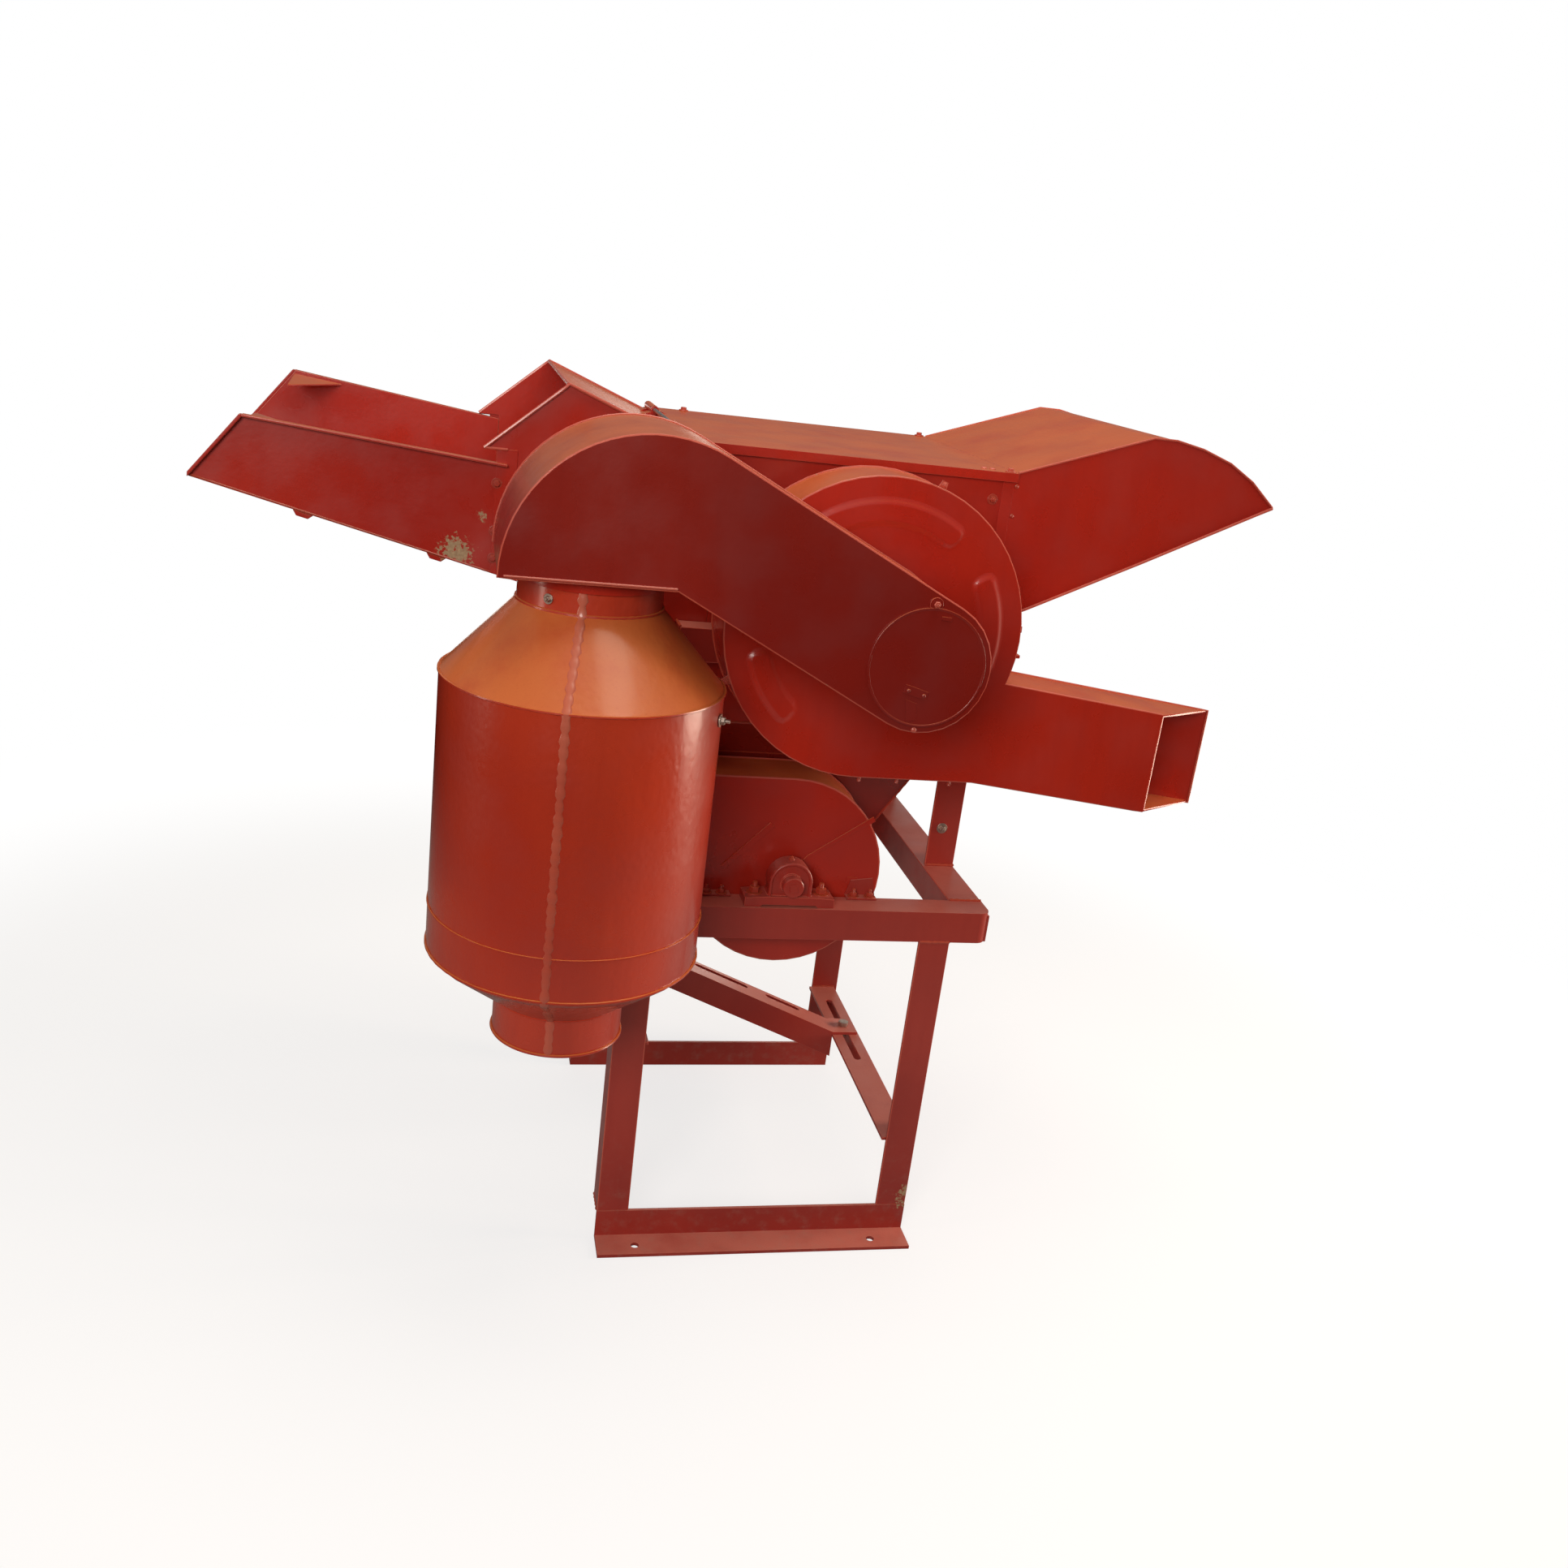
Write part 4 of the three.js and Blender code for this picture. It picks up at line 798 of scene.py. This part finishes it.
def bearing_details():
    """Bolts, bosses, grease nipples and seal ridges of the four pillow blocks."""
    iron = Shape()
    nuts = Shape()
    ribs = Shape()
    for node in ("thrower_bearing_front", "thrower_bearing_back",
                 "rotor_bearing_front", "rotor_bearing_back"):
        low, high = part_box(node)
        x, y = (low.x + high.x) / 2, (low.y + high.y) / 2
        axis_z = low.z + AXIS_HEIGHT * MM
        for sx in (-1, 1):
            foot = Vector((x + sx * BOLT_SPREAD * MM, y, low.z + FOOT_TOP * MM))
            nuts.bolt(foot, Z, 13, 8, stud=7)
            iron.turned(foot - Z * MM, Z, [(14, 0), (13.4, 1.2), (11, 1.3)], 24)
        nipple = [(4.2, 0), (4.2, 3), (2.4, 3.6), (2.4, 5.4), (1.6, 6.2)]
        nuts.turned(Vector((x, y, axis_z + 29.5 * MM)), Z, nipple, 10)
        hub = Vector((x, y, axis_z))
        for dirn in (-Y, Y):
            middle = hub + dirn * 12.6 * MM
            arch = [middle + X * DOME_R * MM - Z * 22 * MM]
            for k in range(31):
                a = math.radians(-8 + 6.5 * k)
                arch.append(middle + (X * math.cos(a) + Z * math.sin(a)) * DOME_R * MM)
            arch.append(middle - X * DOME_R * MM - Z * 22 * MM)
            ribs.tube(walk(arch, 6, closed=False), 2.6, sides=10)
    iron.make("bearing_bosses", "machine", "cast_paint", bevel=0.4)
    nuts.make("bearing_nuts", "machine", "weld", 0.4)
    ribs.make("bearing_seals", "machine", "cast_paint", 0.2)


drum_details()
bearing_details()


# ---------------------------------------------------------------- feed tray, throat, cover and hood
def tray_details():
    """Corner gussets, strips under the floor, edge strips and lap joints of the feed tray."""
    sheet = Shape()
    sheet.plate([at(-735, 103.2, 1110), at(-735, 230, 1103), at(-668, 103.2, 1105)], -Z * 2.4 * MM)
    sheet.plate([at(-717, 524.8, 1132), at(-717, 430, 1124), at(-650, 524.8, 1124)], -Z * 2.4 * MM)
    slope = 0.247
    for x in (-662, -500):
        z = 875 + (-137 - x) * slope - 3.2
        sheet.plate([at(x - 14, 100, z + 14 * slope), at(x + 10, 100, z - 10 * slope),
                     at(x + 4, 100, z - 6 - 4 * slope), at(x - 10, 100, z - 6 + 10 * slope)], Y * 428 * MM)
    z = 875 + (-137 + 797) * slope
    for y, x, top in ((92, -735, 1112), (528, -717, 1134)):
        sheet.plate([at(-797, y, z - 3), at(x, y, top), at(x, y, top + 2.8), at(x - 3, y, top + 2.8),
                     at(-800 + 3.2, y, z + 3)], Y * 8 * MM)
    for y, push in ((100, -Y), (528, Y)):
        lap = push * 1.6 * MM
        sheet.plate([at(-434, y, 946), at(-408, y, 940), at(-408, y, 1103), at(-434, y, 1103)], lap)
        sheet.plate([at(238, y, 934), at(254, y, 940), at(254, y, 1128), at(238, y, 1128)], lap)
    sheet.make("tray_stiffeners", "machine", "enamel", bevel=0.6)
    bolts = Shape()
    for x, z in ((-432, 1060), (-432, 1000), (-432, 965)):
        bolts.bolt(at(x, 99.8, z), -Y, 7.5, 3.6, washer=True)
        bolts.bolt(at(x, 528.2, z), Y, 7.5, 3.6, washer=True)
    bolts.rivet(at(-412, 99.8, 1040), -Y, 3.5, 2.0)
    bolts.make("tray_bolts", "machine", "weld", 0.3)


def edge_beads():
    """Folded edges of the feed throat and the discharge hood."""
    fold = Shape()

    def run(points, r=2.0):
        fold.tube(walk([at(*p) for p in points], 14, closed=False), r, sides=8)

    for y in (97.5, 530.5):
        run([(-450, y, 1103), (-350, y, 1190), (-204, y, 1134)], 2.2)
        run([(-450, y, 1103), (-421, y, 1103)], 1.8)
    run([(-351, 101, 1189), (-351, 527, 1189)], 2.6)
    for y in (99, 529):
        run([(301, y, 953), (462, y, 1032), (645, y, 1125)], 1.9)
        run([(247, y, 930), (301, y, 953)], 1.9)
    run([(645, 101, 1124), (645, 527, 1124)], 2.3)
    for y in (99.5, 528.5):
        run([(258, y, 1138), (446, y, 1203), (480, y, 1203), (522, y, 1195), (567, y, 1180),
             (606, y, 1158), (644.5, y, 1126)], 1.5)
    # The folds wear the edge paint, whose lighter colour paints a highlight along them.
    fold.make("sheet_folds", "machine", "edge")


def cover_details():
    """Corner bolts and two rivets on the top cover."""
    bolts = Shape()
    for x, y in ((246, 100), (246, 526), (-140, 526)):
        bolts.bolt(at(x, y, 1138.1), Z, 8, 3.8)
    bolts.rivet(at(214, 118, 1138.0), Z, 4.5, 2.2)
    bolts.rivet(at(226, 117, 1138.0), Z, 4.5, 2.2)
    bolts.make("cover_bolts", "top_cover", "edge", 0.3)


def hood_details():
    """Rivets of the discharge hood and bolts round the grinding chamber."""
    rows = Shape()
    for z in (960, 1020, 1080, 1120):
        rows.rivet(at(258, 99.9, z), -Y, 3.0, 1.6)
        rows.rivet(at(258, 528.1, z), Y, 3.0, 1.6)
    rows.make("hood_rivets", "machine", "weld")
    chamber = Shape()
    for x, z in ((-130, 1100), (-130, 1010), (-130, 920), (226, 1100), (226, 1010), (226, 960)):
        chamber.bolt(at(x, 528.2, z), Y, 8, 4, stud=3)
    for x, z in ((226, 1100), (226, 1010), (-130, 1100)):
        chamber.bolt(at(x, 99.8, z), -Y, 8, 4, stud=3)
    for y in (150, 240, 330, 420, 500):
        chamber.bolt(at(-147.2, y, 800), -X, 8, 4, stud=3)
        chamber.bolt(at(243.2, y, 800), X, 8, 4, stud=3)
    chamber.make("chamber_bolts", "machine", "weld", 0.3)


tray_details()
edge_beads()
cover_details()
hood_details()


# ---------------------------------------------------------------- frame bolts, rail end plates, shaft ends
def frame_bolts():
    """Bolts in the posts, and a plate in each open end of the front and back table rails."""
    zinc = Shape()
    zinc.bolt(at(262, 177.8, 592.6), -Y, 9, 5, stud=3)
    zinc.bolt(at(-212, 177.8, 600), -Y, 9, 5, stud=3)
    zinc.bolt(at(264, 177.8, 800), -Y, 9, 5, stud=3)
    for y in (120, 380, 440):
        zinc.bolt(at(290.2, y, 872), X, 10, 5, stud=3)
    zinc.make("frame_bolts", "machine", "bolt_steel", bevel=0.3)
    caps = Shape()
    for x, push in ((289.8, -X), (-233.8, X)):
        for y0, y1 in ((5.4, 46), (494, 534.6)):
            caps.plate([at(x, y0, 485.4), at(x, y1, 485.4), at(x, y1, 525.6), at(x, y0, 525.6)],
                       push * 4 * MM)
    caps.make("rail_end_caps", "machine", "rail_paint", bevel=0.4)


def shaft_ends():
    """Pulley hubs behind the machine, and the round cap on the thrower shaft's front end."""
    for centre, body, name in ((FAN_C, "rotor_group", "rotor_hub"), (DRUM, "thrower_group", "thrower_hub")):
        hub = Vector((centre.x, DATUM.y + 616.2 * MM, centre.z))
        one = Shape()
        one.turned(hub, Y, [(24, 0), (24, 6), (22.5, 7.5), (10.6, 7.5)], 32)
        for deg in (20, 140, 260):
            a = math.radians(deg)
            spot = hub + (X * math.cos(a) + Z * math.sin(a)) * 17 * MM + Y * 7.4 * MM
            one.bolt(spot, Y, 5.5, 2.8, washer=False)
        one.make(name, body, "bolt_steel", bevel=0.3)
    end = Vector((DRUM.x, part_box("thrower_rotor")[0].y, DRUM.z))
    back = (end.y - DATUM.y) / MM - 5.4
    cap = Shape()
    cap.turned(end, -Y, [(13.6, back), (14.6, back + 1), (14.6, 0.4), (13.4, 1.8), (9.0, 2.4)], 32)
    turn = math.radians(8)
    corners = []
    for k in range(4):
        a = turn + math.pi / 4 + math.pi / 2 * k
        corners.append(end - Y * 2.2 * MM + (X * math.cos(a) + Z * math.sin(a)) * 7.6 * MM)
    cap.plate(corners, -Y * 2.2 * MM)
    cap.make("thrower_end_cap", "thrower_group", "cast_paint", bevel=1.0)


frame_bolts()
shaft_ends()


# ---------------------------------------------------------------- camera, floor and light
def camera():
    """The photograph's view of the machine."""
    data = bpy.data.cameras.new("camera")
    data.lens = 33.54
    data.sensor_width = 36
    data.clip_start = 0.05
    data.clip_end = 60
    obj = bpy.data.objects.new("camera", data)
    bpy.context.scene.collection.objects.link(obj)
    right = Vector((0.9711, -0.2061, 0.1206))
    up = Vector((-0.0459, 0.3347, 0.9412))
    back = Vector((-0.2344, -0.9195, 0.3156))
    turn = Matrix((right, up, back)).transposed().to_quaternion().to_matrix().to_4x4()
    obj.matrix_world = Matrix.Translation(Vector((-0.4184, -1.9594, 1.3276))) @ turn
    bpy.context.scene.camera = obj


def floor():
    """A pale round floor whose far part runs into the white backdrop."""
    n = Nodes("floor")
    n.bump(n.noise(30.0, 4.0), 0.05, 0.001)
    far = n.span(n.distance((0.0, 0.0, 0.0)), 0.9, 2.4)
    tone = n.mix(n.noise(1.5, 3.0), rgb(0.3, 0.3, 0.3), rgb(0.32, 0.32, 0.318))
    tone = n.mix(far, tone, rgb(0.0, 0.0, 0.0))
    rays = n.tree.nodes.new("ShaderNodeLightPath")
    glow = n.math("MULTIPLY", rays.outputs["Is Camera Ray"], n.span(far, 0.0, 1.0, 0.72, 1.0))
    n.put(glow, n.shader.inputs["Emission Strength"])
    n.shader.inputs["Emission Color"].default_value = rgb(1.0, 1.0, 1.0)
    material = n.finish(tone, 0.8, specular=0.0)
    steps = 64
    verts = [(0.0, 0.0, 0.0)]
    faces = []
    radii = (1.0, 2.5, 6.0, 40.0)
    for r in radii:
        for i in range(steps):
            a = 2 * math.pi * i / steps
            verts.append((r * math.cos(a), r * math.sin(a), 0.0))
    for i in range(steps):
        j = (i + 1) % steps
        faces.append((0, 1 + i, 1 + j))
        for row in range(len(radii) - 1):
            base = 1 + row * steps
            faces.append((base + i, base + steps + i, base + steps + j, base + j))
    mesh = bpy.data.meshes.new("floor")
    mesh.from_pydata(verts, [], faces)
    mesh.materials.append(material)
    obj = bpy.data.objects.new("floor", mesh)
    bpy.context.scene.collection.objects.link(obj)
    obj.location.z = -0.0005


def light(name, place, target, size, power, colour):
    data = bpy.data.lights.new(name, "AREA")
    data.shape = "RECTANGLE"
    data.size, data.size_y = size
    data.energy = power
    data.color = colour
    data.spread = math.radians(180)
    obj = bpy.data.objects.new(name, data)
    bpy.context.scene.collection.objects.link(obj)
    obj.location = place
    obj.rotation_mode = "QUATERNION"
    obj.rotation_quaternion = (Vector(target) - Vector(place)).to_track_quat("-Z", "Y")


def lights():
    """Soft light from above, in front and both sides, with a white backdrop that only the camera sees."""
    light("overhead", (0.3, -0.2, 3.2), (0, 0, 0.8), (2.0, 2.0), 44, (1.0, 0.88, 0.74))
    light("front", (-1.6, -3.6, 2.2), (0, 0, 0.7), (1.6, 1.4), 76, (1.0, 0.94, 0.88))
    light("right_window", (2.7, -0.15, 0.85), (-0.15, -0.4, 0.72), (1.1, 1.7), 66, (1.0, 0.78, 0.62))
    light("left_fill", (-3.2, -0.6, 1.1), (-0.2, 0, 0.7), (0.5, 1.8), 13, (1.0, 0.84, 0.7))
    light("back_fill", (0.4, 3.0, 0.7), (0, 0, 0.7), (2.2, 0.9), 16, (1.0, 0.9, 0.8))
    world = bpy.data.worlds.new("studio")
    bpy.context.scene.world = world
    world.use_nodes = True
    nodes, links = world.node_tree.nodes, world.node_tree.links
    soft = nodes["Background"]
    soft.inputs["Color"].default_value = (1.0, 0.98, 0.96, 1.0)
    soft.inputs["Strength"].default_value = 0.16
    backdrop = nodes.new("ShaderNodeBackground")
    backdrop.inputs["Color"].default_value = (1.0, 1.0, 1.0, 1.0)
    backdrop.inputs["Strength"].default_value = 1.0
    rays = nodes.new("ShaderNodeLightPath")
    choose = nodes.new("ShaderNodeMixShader")
    links.new(rays.outputs["Is Camera Ray"], choose.inputs[0])
    links.new(soft.outputs[0], choose.inputs[1])
    links.new(backdrop.outputs[0], choose.inputs[2])
    links.new(choose.outputs[0], nodes["World Output"].inputs["Surface"])


camera()
floor()
lights()
view = bpy.context.scene.view_settings
view.view_transform = "Standard"
view.look = "None"
